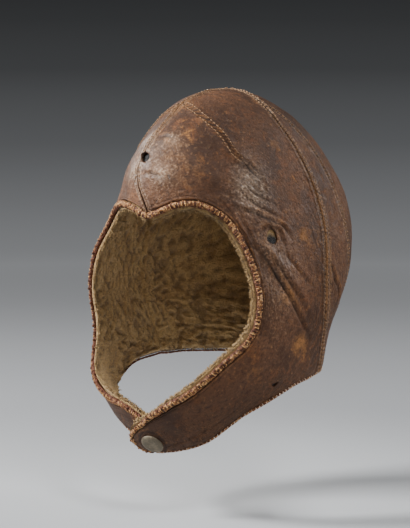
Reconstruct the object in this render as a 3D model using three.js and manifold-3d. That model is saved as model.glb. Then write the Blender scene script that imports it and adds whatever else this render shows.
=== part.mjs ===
// Leather flying helmet with a fleece lining, in its worn form.
// Millimetres, +Z up, -Y is the face, +X is the wearer's left.
// The origin is the inside top of the lining, where the head bears.
// The leather lies on one egg-shaped form. Every edge and seam is a curve of directions
// seen from the middle of that form, so each piece follows the form when a size changes.
import * as THREE from 'three';
import { mergeVertices } from 'three/addons/utils/BufferGeometryUtils.js';
import Module from 'manifold-3d';

// Sizes of the form that the leather covers
const FORM_HEIGHT = 263;
const HALF_BREADTH = 88;
const FRONT_REACH = 98;
const BACK_REACH = 107;

// Walls and clearances
const LEATHER = 2;
const FLEECE = 4.5;
const GAP = 0.3;

// Rolled edge round the face, and the thin overcast edge along the bottom
const ROLL_WIDTH = 5;
const ROLL_HEIGHT = 3.4;
const HEM_WIDTH = 1.6;
const HEM_HEIGHT = 2.6;

// How far the fleece reaches out under the rolled edge, and how far it stops short of the hem
const FLEECE_REVEAL = 3.4;
const FLEECE_SETBACK = 0.6;

// Snap fastener under the chin
const CAP_DIAMETER = 16.4;
const CAP_HEIGHT = 1.8;
const POST_DIAMETER = 4.4;
const STUD_DIAMETER = 7;
const STUD_HEIGHT = 0.8;
const POST_CLEARANCE = 0.3;

// Holes worn through the leather
const FRONT_HOLE = 6.4;
const EAR_HOLE = 6;
const TEAR_LENGTH = 4.6;
const TEAR_WIDTH = 2.6;

// Seams: how far the leather dips at a seam and rises beside it
const SEAM_DIP = 0.5;
const SEAM_RISE = 0.35;

// The tallest fold of the worn leather
const FOLD_HEIGHT = 1.5;

// Grid of each piece: rows run down the head, columns run round it. A seam has a narrow
// band of cells beside it, a share of the piece's width.
const LOWER_ROWS = 13;
const SIDE_COLUMNS = 10;
const BACK_ROWS = 12;
const GORE_COLUMNS = 3;
const PANEL_COLUMNS = 8;
const SIDE_BAND = 0.03;
const BACK_BAND = 0.02;
const ROLL_SIDES = 6;
const ROUND_SIDES = 20;
const HOLE_SIDES = 9;

const CROWN_Z = LEATHER + GAP + FLEECE;
const ROLL_PROUD = ROLL_HEIGHT - LEATHER;
const LAP = LEATHER + FLEECE + 3 * GAP + ROLL_PROUD;

// The middle of the form, from which directions are seen, as shares of its reach and height
const CORE_AFT = 0.05;
const CORE_DOWN = 0.475;
const CORE = new THREE.Vector3(0, CORE_AFT * BACK_REACH, CROWN_Z - CORE_DOWN * FORM_HEIGHT);

// Level sections of the form, from the crown down.
// down: share of the height; half: share of the half breadth; front and back: shares of
// their reach; middle: where the section is widest, a share of the half breadth behind
// the axis; frontPower and backPower: 2 is an ellipse, less is more pointed.
const SECTIONS = [
  { down: 0.023, half: 0.27, front: 0.31, back: 0.32, middle: 0.0, frontPower: 2.0, backPower: 2.0 },
  { down: 0.061, half: 0.44, front: 0.51, back: 0.5, middle: 0.05, frontPower: 1.9, backPower: 2.0 },
  { down: 0.114, half: 0.58, front: 0.69, back: 0.665, middle: 0.11, frontPower: 1.75, backPower: 2.0 },
  { down: 0.19, half: 0.72, front: 0.83, back: 0.84, middle: 0.15, frontPower: 1.66, backPower: 2.0 },
  { down: 0.274, half: 0.83, front: 0.895, back: 0.965, middle: 0.17, frontPower: 1.66, backPower: 2.0 },
  { down: 0.361, half: 0.93, front: 0.925, back: 1.0, middle: 0.14, frontPower: 1.78, backPower: 2.0 },
  { down: 0.456, half: 0.99, front: 0.965, back: 0.95, middle: 0.09, frontPower: 2.05, backPower: 2.0 },
  { down: 0.551, half: 1.0, front: 1.0, back: 0.83, middle: 0.02, frontPower: 2.3, backPower: 2.0 },
  { down: 0.646, half: 0.955, front: 1.0, back: 0.7, middle: -0.04, frontPower: 2.3, backPower: 2.0 },
  { down: 0.741, half: 0.9, front: 0.98, back: 0.64, middle: -0.09, frontPower: 2.25, backPower: 2.1 },
  { down: 0.817, half: 0.81, front: 0.93, back: 0.62, middle: -0.13, frontPower: 2.15, backPower: 2.2 },
  { down: 0.894, half: 0.64, front: 0.86, back: 0.49, middle: -0.17, frontPower: 2.0, backPower: 2.2 },
  { down: 0.954, half: 0.41, front: 0.67, back: 0.3, middle: -0.2, frontPower: 2.0, backPower: 2.0 },
];

// Curves of directions in degrees. round: 0 is the face and 90 the wearer's left ear;
// up: above the level of the form's middle.
const LEFT_FACE = {
  brow: [
    { round: 3.6, up: 25 },
    { round: 12, up: 28.8 },
    { round: 21, up: 32.8 },
    { round: 28.5, up: 33.6 },
    { round: 36, up: 31.2 },
    { round: 42.6, up: 26.6 },
    { round: 47.6, up: 18.6 },
    { round: 51.6, up: 9 },
    { round: 54.2, up: -1 },
    { round: 54.8, up: -11 },
    { round: 53.2, up: -20 },
  ],
  jaw: [
    { round: 53.2, up: -20 },
    { round: 48, up: -26.6 },
    { round: 40.8, up: -31 },
    { round: 29, up: -37.4 },
    { round: 19.5, up: -41.3 },
  ],
};
const RIGHT_FACE = {
  brow: [
    { round: -3.6, up: 25 },
    { round: 4, up: 27.8 },
    { round: 13.5, up: 29.8 },
    { round: 22, up: 30.4 },
    { round: 30, up: 29.4 },
    { round: 37.5, up: 26 },
    { round: 45, up: 18.6 },
    { round: 50.5, up: 8 },
    { round: 54.5, up: -4 },
    { round: 56.8, up: -20 },
  ],
  jaw: [
    { round: 56.8, up: -20 },
    { round: 55.6, up: -29 },
    { round: 50.5, up: -36.6 },
    { round: 42, up: -42 },
    { round: 31, up: -44.6 },
    { round: 20, up: -45.2 },
  ],
};
const SIDE_HEM = [
  { round: 101, up: -44.8 },
  { round: 91, up: -45 },
  { round: 81, up: -45.2 },
  { round: 70, up: -46.6 },
];
// The end of each chin flap, round counted towards its own side: its face edge going on
// from the jaw, its rounded tip, and its hem coming back. The left flap lies outside; the
// right one is longer and passes under the snap.
const LEFT_FLAP = {
  edge: [{ round: 14.5, up: -43.6 }, { round: 7.5, up: -46.5 }, { round: 2, up: -48.8 }],
  tip: [
    { round: -2, up: -50.4 },
    { round: -3.2, up: -52.2 },
    { round: -1.6, up: -54.2 },
    { round: 4, up: -55.2 },
  ],
  hem: [
    { round: 56, up: -49.2 },
    { round: 41, up: -51.9 },
    { round: 26, up: -54.4 },
    { round: 14, up: -55.2 },
  ],
};
const RIGHT_FLAP = {
  edge: [{ round: 9, up: -45.9 }, { round: 0, up: -48.4 }, { round: -8, up: -50.2 }],
  tip: [
    { round: -14.5, up: -52.8 },
    { round: -16.5, up: -55.4 },
    { round: -13, up: -57.6 },
    { round: -5, up: -58.8 },
  ],
  hem: [
    { round: 56, up: -48.6 },
    { round: 41, up: -50 },
    { round: 27, up: -51.2 },
    { round: 15, up: -54 },
    { round: 4, up: -58 },
  ],
};
const BACK_HEM = [
  { round: 101, up: -44.8 },
  { round: 120, up: -46 },
  { round: 150, up: -48 },
  { round: 180, up: -48.8 },
  { round: 210, up: -48 },
  { round: 240, up: -46 },
  { round: 259, up: -44.8 },
];
// The seam along the middle of the crown, from the brow back. side: slope towards the
// wearer's left, because the seam of the worn helmet has drifted off the middle.
const CENTRE_SEAM = [
  { up: 25, side: 0.063 },
  { up: 29.5, side: 0.014 },
  { up: 34.5, side: -0.042 },
  { up: 40, side: -0.062 },
  { up: 46, side: -0.052 },
  { up: 56, side: -0.05 },
  { up: 68, side: -0.035 },
  { up: 80, side: -0.01 },
];
// The seam from ear to ear. lean: degrees from straight up; aft: slope towards the back.
const CROWN_SEAM = [
  { lean: 0, aft: 0.06 },
  { lean: 12, aft: 0.05 },
  { lean: 22, aft: 0.03 },
  { lean: 32, aft: 0.07 },
  { lean: 45, aft: 0.11 },
  { lean: 55, aft: 0.13 },
  { lean: 65, aft: 0.12 },
  { lean: 78, aft: 0.085 },
  { lean: 92, aft: 0.045 },
  { lean: 107, aft: 0.055 },
  { lean: 124, aft: 0.11 },
];
// How much of the crown seam, from its middle, is the top edge of the back pieces
const BACK_TOP_SHARE = 0.148;
// Where the hem corner and the jaw lie, as a share of the way from the crown to the flap's tip
const SPLIT = 0.6;
// How sharply the brow edge turns into the foot of the centre seam
const PEAK_SHARPNESS = 6;
// Where the back seams lie, as shares of the way round the back from ear to ear
const BACK_SEAM = [
  { down: 0, across: 0.2 },
  { down: 0.35, across: 0.24 },
  { down: 0.7, across: 0.27 },
  { down: 1, across: 0.28 },
];

// Folds and dents. side: 1 is the left, -1 the right and 0 both; turn: which way the fold
// runs, 0 is level and 90 is upright; long and wide: half lengths in radians, seen from the
// middle of the form; lift: share of the tallest fold's height, inwards below 0.
const FOLDS = [
  { name: 'dart', side: 0, round: 33, up: 60, turn: -38, long: 0.5, wide: 0.05, lift: 0.6 },
  { name: 'temple dent', side: 1, round: 55, up: 44, turn: -50, long: 0.13, wide: 0.09, lift: -0.87 },
  { name: 'brow swell', side: 0, round: 20, up: 42, turn: 0, long: 0.24, wide: 0.13, lift: 0.8 },
  { name: 'ear fold', side: 1, round: 62, up: 26, turn: -30, long: 0.16, wide: 0.055, lift: 0.93 },
  { name: 'cheek crease', side: 1, round: 63, up: -1, turn: -52, long: 0.34, wide: 0.06, lift: -1 },
  { name: 'cheek ridge', side: 1, round: 69, up: 0, turn: -52, long: 0.32, wide: 0.06, lift: 0.8 },
  { name: 'right ear fold', side: -1, round: 66, up: 22, turn: -35, long: 0.2, wide: 0.07, lift: 0.73 },
  { name: 'right cheek crease', side: -1, round: 70, up: -8, turn: -60, long: 0.3, wide: 0.07, lift: -0.73 },
  { name: 'right crown slope', side: -1, round: 31, up: 60, turn: 0, long: 0.2, wide: 0.17, lift: -2.2 },
  { name: 'right edge flare', side: -1, round: 50, up: 3, turn: 90, long: 0.24, wide: 0.22, lift: 1.5 },
  { name: 'right jaw corner', side: -1, round: 42, up: -40, turn: 0, long: 0.2, wide: 0.13, lift: 2 },
  { name: 'nape fold', side: 0, round: 122, up: -16, turn: 82, long: 0.3, wide: 0.07, lift: -0.93 },
  { name: 'nape ridge', side: 0, round: 133, up: -20, turn: 84, long: 0.28, wide: 0.07, lift: 0.8 },
];

// Places on the left side
const EAR_HOLE_AT = { round: 62.5, up: 16.8 };
const TEAR_AT = { round: 63.5, up: -42.5 };
const FRONT_HOLE_AT = { round: -3.6, up: 44.5 };
const SNAP_AT = { round: 6, up: -52.2 };

const wasm = await Module();
wasm.setup();

// Small helpers

const toRadians = THREE.MathUtils.degToRad;

function direction({ round, up }) {
  const level = Math.cos(toRadians(up));
  return new THREE.Vector3(
    level * Math.sin(toRadians(round)),
    -level * Math.cos(toRadians(round)),
    Math.sin(toRadians(up)),
  );
}

function seamDirection({ lean, aft }) {
  return new THREE.Vector3(Math.sin(toRadians(lean)), aft, Math.cos(toRadians(lean))).normalize();
}

// Rises smoothly from 0 at one value to 1 at the other
function smooth(from, to, value) {
  const t = THREE.MathUtils.clamp((value - from) / (to - from), 0, 1);
  return t * t * (3 - 2 * t);
}

// A curve of directions through the rows of a table, even in length
function directionCurve(directions) {
  const curve = new THREE.CatmullRomCurve3(directions, false, 'centripetal');
  return (t) => curve.getPointAt(THREE.MathUtils.clamp(t, 0, 1)).normalize();
}

// Two curves end to end, the first taking the given share of the way
function joined(first, second, share) {
  return (t) => (t <= share ? first(t / share) : second((t - share) / (1 - share)));
}

// The form

const STATIONS = [0, ...SECTIONS.map((row) => Math.acos(1 - 2 * row.down)), Math.PI];

function column(name, scale, top, bottom) {
  const values = [top, ...SECTIONS.map((row) => row[name] * scale), bottom];
  const slopes = values.map((_, i) => {
    const before = Math.max(i - 1, 0);
    const after = Math.min(i + 1, values.length - 1);
    return (values[after] - values[before]) / (STATIONS[after] - STATIONS[before]);
  });
  return { values, slopes };
}

const LOWEST = SECTIONS[SECTIONS.length - 1];
const COLUMNS = {
  half: column('half', HALF_BREADTH, 0, 0),
  front: column('front', FRONT_REACH, 0, 0),
  back: column('back', BACK_REACH, 0, 0),
  middle: column('middle', HALF_BREADTH, 0, LOWEST.middle * HALF_BREADTH),
  frontPower: column('frontPower', 1, 2, 2),
  backPower: column('backPower', 1, 2, 2),
};

function sectionValue(name, station) {
  let i = 0;
  while (i < STATIONS.length - 2 && station > STATIONS[i + 1]) i += 1;
  const span = STATIONS[i + 1] - STATIONS[i];
  const t = (station - STATIONS[i]) / span;
  const { values, slopes } = COLUMNS[name];
  return (2 * t ** 3 - 3 * t ** 2 + 1) * values[i]
    + (t ** 3 - 2 * t ** 2 + t) * slopes[i] * span
    + (3 * t ** 2 - 2 * t ** 3) * values[i + 1]
    + (t ** 3 - t ** 2) * slopes[i + 1] * span;
}

function isInside(point) {
  const down = (CROWN_Z - point.z) / FORM_HEIGHT;
  if (down <= 0 || down >= 1) return false;
  const station = Math.acos(1 - 2 * down);
  const middle = sectionValue('middle', station);
  const isFront = point.y < middle;
  const reach = isFront
    ? sectionValue('front', station) + middle
    : sectionValue('back', station) - middle;
  const power = sectionValue(isFront ? 'frontPower' : 'backPower', station);
  const across = Math.abs(point.x) / sectionValue('half', station);
  const along = Math.abs(point.y - middle) / reach;
  return across ** power + along ** power < 1;
}

// The point of the form in a direction from its core
function formPoint(toward) {
  let near = 0;
  let far = FORM_HEIGHT + BACK_REACH;
  for (let step = 0; step < 34; step += 1) {
    const middle = (near + far) / 2;
    if (isInside(CORE.clone().addScaledVector(toward, middle))) near = middle;
    else far = middle;
  }
  return CORE.clone().addScaledVector(toward, (near + far) / 2);
}

function formNormal(toward) {
  const step = 0.01;
  const helper = Math.abs(toward.z) < 0.9 ? new THREE.Vector3(0, 0, 1) : new THREE.Vector3(1, 0, 0);
  const sideways = new THREE.Vector3().crossVectors(helper, toward).normalize();
  const upward = new THREE.Vector3().crossVectors(toward, sideways).normalize();
  const at = (way, amount) => formPoint(toward.clone().addScaledVector(way, amount).normalize());
  const across = at(sideways, step).sub(at(sideways, -step));
  const along = at(upward, step).sub(at(upward, -step));
  return across.cross(along).normalize();
}

// How far the leather stands off the form at a direction: its folds and dents
function relief(toward) {
  const up = THREE.MathUtils.radToDeg(Math.asin(THREE.MathUtils.clamp(toward.z, -1, 1)));
  const round = THREE.MathUtils.radToDeg(Math.atan2(Math.abs(toward.x), -toward.y));
  const hand = toward.x < 0 ? -1 : 1;
  let total = 0;
  for (const fold of FOLDS) {
    if (fold.side !== 0 && fold.side !== hand) continue;
    const level = toRadians(round - fold.round) * Math.cos(toRadians(fold.up));
    const rise = toRadians(up - fold.up);
    const cos = Math.cos(toRadians(fold.turn));
    const sin = Math.sin(toRadians(fold.turn));
    const along = (level * cos + rise * sin) / fold.long;
    const across = (rise * cos - level * sin) / fold.wide;
    total += fold.lift * FOLD_HEIGHT * Math.exp(-(along ** 2) - across ** 2);
  }
  return total;
}

// The left flap passes outside the right one under the chin: it leaves the form between
// these angles round the face and below these angles up. hand: 1 is the left, -1 the right.
const LAP_ROUND = { none: 52, full: 24 };
const LAP_UP = { none: -30, full: -42 };

function lap(toward, hand) {
  if (hand <= 0) return 0;
  const up = THREE.MathUtils.radToDeg(Math.asin(toward.z));
  const round = THREE.MathUtils.radToDeg(Math.atan2(toward.x, -toward.y));
  return LAP * smooth(LAP_ROUND.none, LAP_ROUND.full, round) * smooth(LAP_UP.none, LAP_UP.full, up);
}

function outerPoint(toward, hand, depth) {
  const lift = relief(toward) + lap(toward, hand) - depth;
  return formPoint(toward).addScaledVector(formNormal(toward), lift);
}

// Pieces made from grids of directions

// A grid between four curves of directions: head and foot run across, near and far run down
function grid({ head, foot, near, far, downs, acrosses }) {
  const corners = [head(0), head(1), foot(0), foot(1)];
  return downs.map((down) => acrosses(down).map((across) => {
    const ruledDown = near(down).multiplyScalar(1 - across).addScaledVector(far(down), across);
    const ruledAcross = head(across).multiplyScalar(1 - down).addScaledVector(foot(across), down);
    const blend = new THREE.Vector3()
      .addScaledVector(corners[0], (1 - down) * (1 - across))
      .addScaledVector(corners[1], (1 - down) * across)
      .addScaledVector(corners[2], down * (1 - across))
      .addScaledVector(corners[3], down * across);
    return ruledDown.add(ruledAcross).sub(blend).normalize();
  }));
}

// Moves the edge directions of a grid outwards along the form, by millimetres for each side
function moveEdges(directions, { head = 0, foot = 0, near = 0, far = 0 }) {
  const points = directions.map((row) => row.map(formPoint));
  const moved = points.map((row) => row.map((point) => point.clone()));
  const rows = points.length;
  const columns = points[0].length;
  const push = (i, j, stepI, stepJ, inI, inJ, amount) => {
    const at = (row, place) => {
      const inRange = THREE.MathUtils.clamp(row, 0, rows - 1);
      return points[inRange][THREE.MathUtils.clamp(place, 0, columns - 1)];
    };
    const tangent = at(i + stepI, j + stepJ).clone().sub(at(i - stepI, j - stepJ)).normalize();
    const outward = points[i][j].clone().sub(points[i + inI][j + inJ]);
    const normal = formNormal(directions[i][j]);
    outward.addScaledVector(tangent, -outward.dot(tangent));
    outward.addScaledVector(normal, -outward.dot(normal)).normalize();
    moved[i][j].addScaledVector(outward, amount);
  };
  for (let j = 0; j < columns; j += 1) {
    if (head !== 0) push(0, j, 0, 1, 1, 0, head);
    if (foot !== 0) push(rows - 1, j, 0, 1, -1, 0, foot);
  }
  for (let i = 0; i < rows; i += 1) {
    if (near !== 0) push(i, 0, 1, 0, 0, 1, near);
    if (far !== 0) push(i, columns - 1, 1, 0, 0, -1, far);
  }
  return moved.map((row) => row.map((point) => point.sub(CORE).normalize()));
}

// A closed mesh with its faces pointing out
function solidGeometry(positions, triangles) {
  const geometry = new THREE.BufferGeometry();
  const flat = positions.flatMap((point) => [point.x, point.y, point.z]);
  geometry.setAttribute('position', new THREE.Float32BufferAttribute(flat, 3));
  let volume = 0;
  for (const [a, b, c] of triangles) {
    volume += positions[a].dot(new THREE.Vector3().crossVectors(positions[b], positions[c]));
  }
  const facing = volume < 0 ? triangles.map(([a, b, c]) => [a, c, b]) : triangles;
  geometry.setIndex(facing.flat());
  return geometry;
}

// A wall between two depths below the outer face, closed round its edges
function wall(directions, hand, outerDepth, innerDepth, edgeDip) {
  const rows = directions.length;
  const columns = directions[0].length;
  const outer = directions.flatMap((row, i) => (
    row.map((d, j) => outerPoint(d, hand, outerDepth + edgeDip(i, j, columns)))
  ));
  const inner = directions.flatMap((row) => row.map((d) => outerPoint(d, hand, innerDepth)));
  const at = (i, j) => i * columns + j;
  const under = rows * columns;
  const triangles = [];
  for (let i = 0; i < rows - 1; i += 1) {
    for (let j = 0; j < columns - 1; j += 1) {
      const [a, b, c, d] = [at(i, j), at(i, j + 1), at(i + 1, j + 1), at(i + 1, j)];
      triangles.push([a, b, c], [a, c, d]);
      triangles.push([under + a, under + c, under + b], [under + a, under + d, under + c]);
    }
  }
  const rim = [];
  for (let j = 0; j < columns - 1; j += 1) rim.push(at(0, j));
  for (let i = 0; i < rows - 1; i += 1) rim.push(at(i, columns - 1));
  for (let j = columns - 1; j > 0; j -= 1) rim.push(at(rows - 1, j));
  for (let i = rows - 1; i > 0; i -= 1) rim.push(at(i, 0));
  rim.forEach((a, k) => {
    const b = rim[(k + 1) % rim.length];
    triangles.push([a, under + a, under + b], [a, under + b, b]);
  });
  return solidGeometry([...outer, ...inner], triangles);
}

const noDip = () => 0;

function sweep(stations, sides, place) {
  const positions = stations.flatMap((_, i) => (
    Array.from({ length: sides }, (__, k) => place(i, (2 * Math.PI * (k + 0.5)) / sides))
  ));
  const triangles = [];
  for (let i = 0; i < stations.length - 1; i += 1) {
    for (let k = 0; k < sides; k += 1) {
      const next = (k + 1) % sides;
      const [a, b, c, d] = [i * sides + k, i * sides + next, (i + 1) * sides + next, (i + 1) * sides + k];
      triangles.push([a, b, c], [a, c, d]);
    }
  }
  const last = (stations.length - 1) * sides;
  for (let k = 1; k < sides - 1; k += 1) {
    triangles.push([0, k + 1, k], [last, last + k, last + k + 1]);
  }
  return solidGeometry(positions, triangles);
}

// A roll along an edge. stations: directions with the hand of their piece, in order;
// away: which side of the edge is the open one; low: the roll's underside
function roll(stations, away, width, height, low) {
  const base = stations.map(({ toward, hand }) => outerPoint(toward, hand, 0));
  const normals = stations.map(({ toward }) => formNormal(toward));
  const place = (i, angle) => {
    const before = base[Math.max(i - 1, 0)];
    const after = base[Math.min(i + 1, stations.length - 1)];
    const tangent = after.clone().sub(before).normalize();
    const outward = new THREE.Vector3().crossVectors(tangent, normals[i]).multiplyScalar(away).normalize();
    const across = GAP + (width / 2) * (1 + Math.cos(angle));
    const over = low + (height / 2) * (1 + Math.sin(angle));
    return base[i].clone().addScaledVector(outward, across).addScaledVector(normals[i], over);
  };
  return sweep(stations, ROLL_SIDES, place);
}

// Cutting and joining

function manifoldOf(geometry) {
  const bare = geometry.clone();
  bare.deleteAttribute('normal');
  bare.deleteAttribute('uv');
  const merged = mergeVertices(bare, 1e-4);
  return new wasm.Manifold(new wasm.Mesh({
    numProp: 3,
    vertProperties: new Float32Array(merged.attributes.position.array),
    triVerts: new Uint32Array(merged.index.array),
  }));
}

function geometryOf(solid) {
  const mesh = solid.getMesh();
  const geometry = new THREE.BufferGeometry();
  geometry.setAttribute('position', new THREE.BufferAttribute(new Float32Array(mesh.vertProperties), 3));
  geometry.setIndex(Array.from(mesh.triVerts));
  return geometry;
}

// The turn from three's upright axis to the form's normal
function uprightTo(toward) {
  return new THREE.Quaternion().setFromUnitVectors(new THREE.Vector3(0, 1, 0), formNormal(toward));
}

// A straight cutter through the walls at a place
function cutter(place, hand, radiusAcross, radiusAlong, sides) {
  const toward = direction(place);
  const reach = 2 * (LAP + LEATHER);
  const shape = new THREE.CylinderGeometry(1, 1, 2 * reach, sides);
  shape.scale(radiusAcross, 1, radiusAlong);
  shape.applyQuaternion(uprightTo(toward));
  shape.translate(...outerPoint(toward, hand, 0).toArray());
  return shape;
}

function cut(geometry, cutters) {
  let solid = manifoldOf(geometry);
  for (const shape of cutters) solid = solid.subtract(manifoldOf(shape));
  return geometryOf(solid);
}

// The edges and seams as curves

const mirrored = (curve) => (t) => {
  const d = curve(t);
  return d.setX(-d.x);
};
const backHem = directionCurve(BACK_HEM.map(direction));
const crownSeam = directionCurve([...CROWN_SEAM.map(seamDirection), direction(SIDE_HEM[0])]);

function centreSeam(hand) {
  const rows = CENTRE_SEAM.map(({ up, side }) => {
    const level = direction({ round: 0, up });
    return level.setX(side * hand).normalize();
  });
  return directionCurve([...rows, seamDirection(CROWN_SEAM[0])]);
}

const evenly = (count) => Array.from({ length: count + 1 }, (_, i) => i / count);

// Where the left back seam lies at a share of the way down
function backSeamAt(down) {
  let k = 0;
  while (k < BACK_SEAM.length - 2 && down > BACK_SEAM[k + 1].down) k += 1;
  const [a, b] = [BACK_SEAM[k], BACK_SEAM[k + 1]];
  return THREE.MathUtils.lerp(a.across, b.across, (down - a.down) / (b.down - a.down));
}

// Steps across the back, from the left ear to the right one
function backAcrosses(down) {
  const seam = backSeamAt(down);
  const gore = evenly(GORE_COLUMNS).map((t) => t * seam);
  const panel = evenly(PANEL_COLUMNS).slice(1, -1).map((t) => seam + t * (1 - 2 * seam));
  return [...gore, ...panel, ...gore.map((t) => 1 - t).reverse()];
}

// The side pieces share every step of the crown seam with the back pieces
const BACK_DOWNS = [0, BACK_BAND, ...evenly(BACK_ROWS).slice(1)];
const CROWN_STEPS = [
  ...backAcrosses(0).slice(GORE_COLUMNS + PANEL_COLUMNS / 2).map((t) => (2 * t - 1) * BACK_TOP_SHARE),
  ...BACK_DOWNS.slice(1).map((t) => BACK_TOP_SHARE + t * (1 - BACK_TOP_SHARE)),
];
const UPPER_STEPS = [0, CROWN_STEPS[1] / 2, ...CROWN_STEPS.slice(1)];
const CORNER_ROW = UPPER_STEPS.length - 1;
const SIDE_DOWNS = [
  ...UPPER_STEPS.map((t) => t * SPLIT),
  ...evenly(LOWER_ROWS).slice(1).map((t) => SPLIT + t * (1 - SPLIT)),
];
const SIDE_ACROSSES = [0, SIDE_BAND, ...evenly(SIDE_COLUMNS).slice(1, -1), 1 - SIDE_BAND, 1];

// A side piece's grid, always drawn on the left; the centre seam leans the other way for
// the right one, which is then mirrored
function sideGrid(hand, face, flap) {
  const brow = directionCurve(face.brow.map(direction));
  const faceStart = (t) => brow(t).lerp(centreSeam(hand)(0), (1 - t) ** PEAK_SHARPNESS).normalize();
  const faceEnd = directionCurve([...face.jaw, ...flap.edge].map(direction));
  const tip = directionCurve([flap.edge[flap.edge.length - 1], ...flap.tip].map(direction));
  const hem = directionCurve([...SIDE_HEM, ...flap.hem, flap.tip[flap.tip.length - 1]].map(direction));
  return grid({
    head: centreSeam(hand),
    foot: tip,
    near: joined(faceStart, faceEnd, SPLIT),
    far: joined(crownSeam, hem, SPLIT),
    downs: SIDE_DOWNS,
    acrosses: () => SIDE_ACROSSES,
  });
}

function mirrorGrid(directions) {
  return directions.map((row) => row.map((d) => new THREE.Vector3(-d.x, d.y, d.z)));
}

const leftGrid = sideGrid(1, LEFT_FACE, LEFT_FLAP);
const rightGrid = sideGrid(-1, RIGHT_FACE, RIGHT_FLAP);

const crownTop = (t) => {
  const share = Math.abs(1 - 2 * t) * BACK_TOP_SHARE;
  return t < 0.5 ? crownSeam(share) : mirrored(crownSeam)(share);
};
const crownSide = (t) => crownSeam(BACK_TOP_SHARE + t * (1 - BACK_TOP_SHARE));

const backDirections = grid({
  head: crownTop,
  foot: backHem,
  near: crownSide,
  far: mirrored(crownSide),
  downs: BACK_DOWNS,
  acrosses: backAcrosses,
});

function columnsOf(directions, first, last) {
  return directions.map((row) => row.slice(first, last + 1));
}

// Finishes

const brownLeather = () => new THREE.MeshStandardMaterial({ color: 0x6b4636, roughness: 0.5, metalness: 0 });
const paleBinding = () => new THREE.MeshStandardMaterial({ color: 0xb07f63, roughness: 0.7, metalness: 0 });
const fleecePile = () => new THREE.MeshStandardMaterial({ color: 0xa88c5c, roughness: 0.95, metalness: 0 });
const wornMetal = () => new THREE.MeshStandardMaterial({ color: 0x6b6252, roughness: 0.5, metalness: 0.8 });

const helmet = new THREE.Group();

function add(name, geometry, material) {
  const mesh = new THREE.Mesh(geometry, material);
  mesh.name = name;
  helmet.add(mesh);
}

// Side pieces: brow, temple, ear and chin flap in one. The head row is the centre seam,
// the far column is the crown seam down to the hem corner and the hem below that.

const seamGap = -GAP / 2;

// The grid with its seams drawn back, its face edge and tip moved out and its hem moved
function sideEdges(directions, faceMove, hemMove) {
  const moved = moveEdges(directions, { head: seamGap, near: faceMove, foot: faceMove });
  const seamed = moveEdges(directions, { far: seamGap });
  const hemmed = moveEdges(directions, { far: hemMove });
  const last = directions.length - 1;
  return moved.map((row, i) => row.map((d, j) => {
    if (j < row.length - 1) return d;
    if (i === 0) {
      const both = formPoint(d).add(formPoint(seamed[i][j])).sub(formPoint(directions[i][j]));
      return both.sub(CORE).normalize();
    }
    if (i === last) return faceMove ? moved[i][j] : hemmed[i][j];
    return i <= CORNER_ROW ? seamed[i][j] : hemmed[i][j];
  }));
}

function sideDip(i, j, columns) {
  if (i === 0 || (j === columns - 1 && i <= CORNER_ROW)) return SEAM_DIP;
  if (i === 1 || (j === columns - 2 && i <= CORNER_ROW)) return -SEAM_RISE;
  return 0;
}

function backDip(i, j, columns) {
  if (i === 0 || j === 0 || j === columns - 1) return SEAM_DIP;
  if (i === 1) return -SEAM_RISE;
  return 0;
}

const fleeceTop = LEATHER + GAP;
const fleeceBottom = fleeceTop + FLEECE;

const frontHole = cutter(FRONT_HOLE_AT, 1, FRONT_HOLE / 2, FRONT_HOLE / 2, HOLE_SIDES);
const earHole = cutter(EAR_HOLE_AT, 1, EAR_HOLE / 2, EAR_HOLE / 2, HOLE_SIDES);
const tear = cutter(TEAR_AT, 1, TEAR_LENGTH / 2, TEAR_WIDTH / 2, HOLE_SIDES);
const postRadius = POST_DIAMETER / 2;
const postHole = cutter(SNAP_AT, 1, postRadius + POST_CLEARANCE, postRadius + POST_CLEARANCE, ROUND_SIDES);

const leftHoles = [frontHole, earHole, tear, postHole];
const SIDES = [
  { name: 'left', hand: 1, shape: leftGrid, holes: leftHoles, fleeceHoles: [postHole] },
  { name: 'right', hand: -1, shape: rightGrid, holes: [frontHole, postHole], fleeceHoles: [] },
];
for (const { name, hand, shape, holes, fleeceHoles } of SIDES) {
  const placed = (directions) => (hand > 0 ? directions : mirrorGrid(directions));
  const leather = placed(sideEdges(shape, 0, 0));
  const fleece = placed(sideEdges(shape, FLEECE_REVEAL, -FLEECE_SETBACK));
  add(`side_${name}`, cut(wall(leather, hand, 0, LEATHER, sideDip), holes), brownLeather());
  add(`fleece_${name}`, cut(wall(fleece, hand, fleeceTop, fleeceBottom, noDip), fleeceHoles), fleecePile());
}

// Back pieces: a gore behind each ear, a panel across the back, and their lining

const lastColumn = 2 * GORE_COLUMNS + PANEL_COLUMNS;
const BACK_PIECES = [
  { name: 'gore_left', first: 0, last: GORE_COLUMNS },
  { name: 'back_panel', first: GORE_COLUMNS, last: GORE_COLUMNS + PANEL_COLUMNS },
  { name: 'gore_right', first: GORE_COLUMNS + PANEL_COLUMNS, last: lastColumn },
];
const backGaps = { head: seamGap, near: seamGap, far: seamGap };
for (const { name, first, last } of BACK_PIECES) {
  const part = moveEdges(columnsOf(backDirections, first, last), backGaps);
  add(name, wall(part, 0, 0, LEATHER, backDip), brownLeather());
}
const fleeceBack = moveEdges(backDirections, { ...backGaps, foot: -FLEECE_SETBACK });
add('fleece_back', wall(fleeceBack, 0, fleeceTop, fleeceBottom, noDip), fleecePile());

// The rolled edge round the face, from the left flap's tip to the right flap's tip

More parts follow.
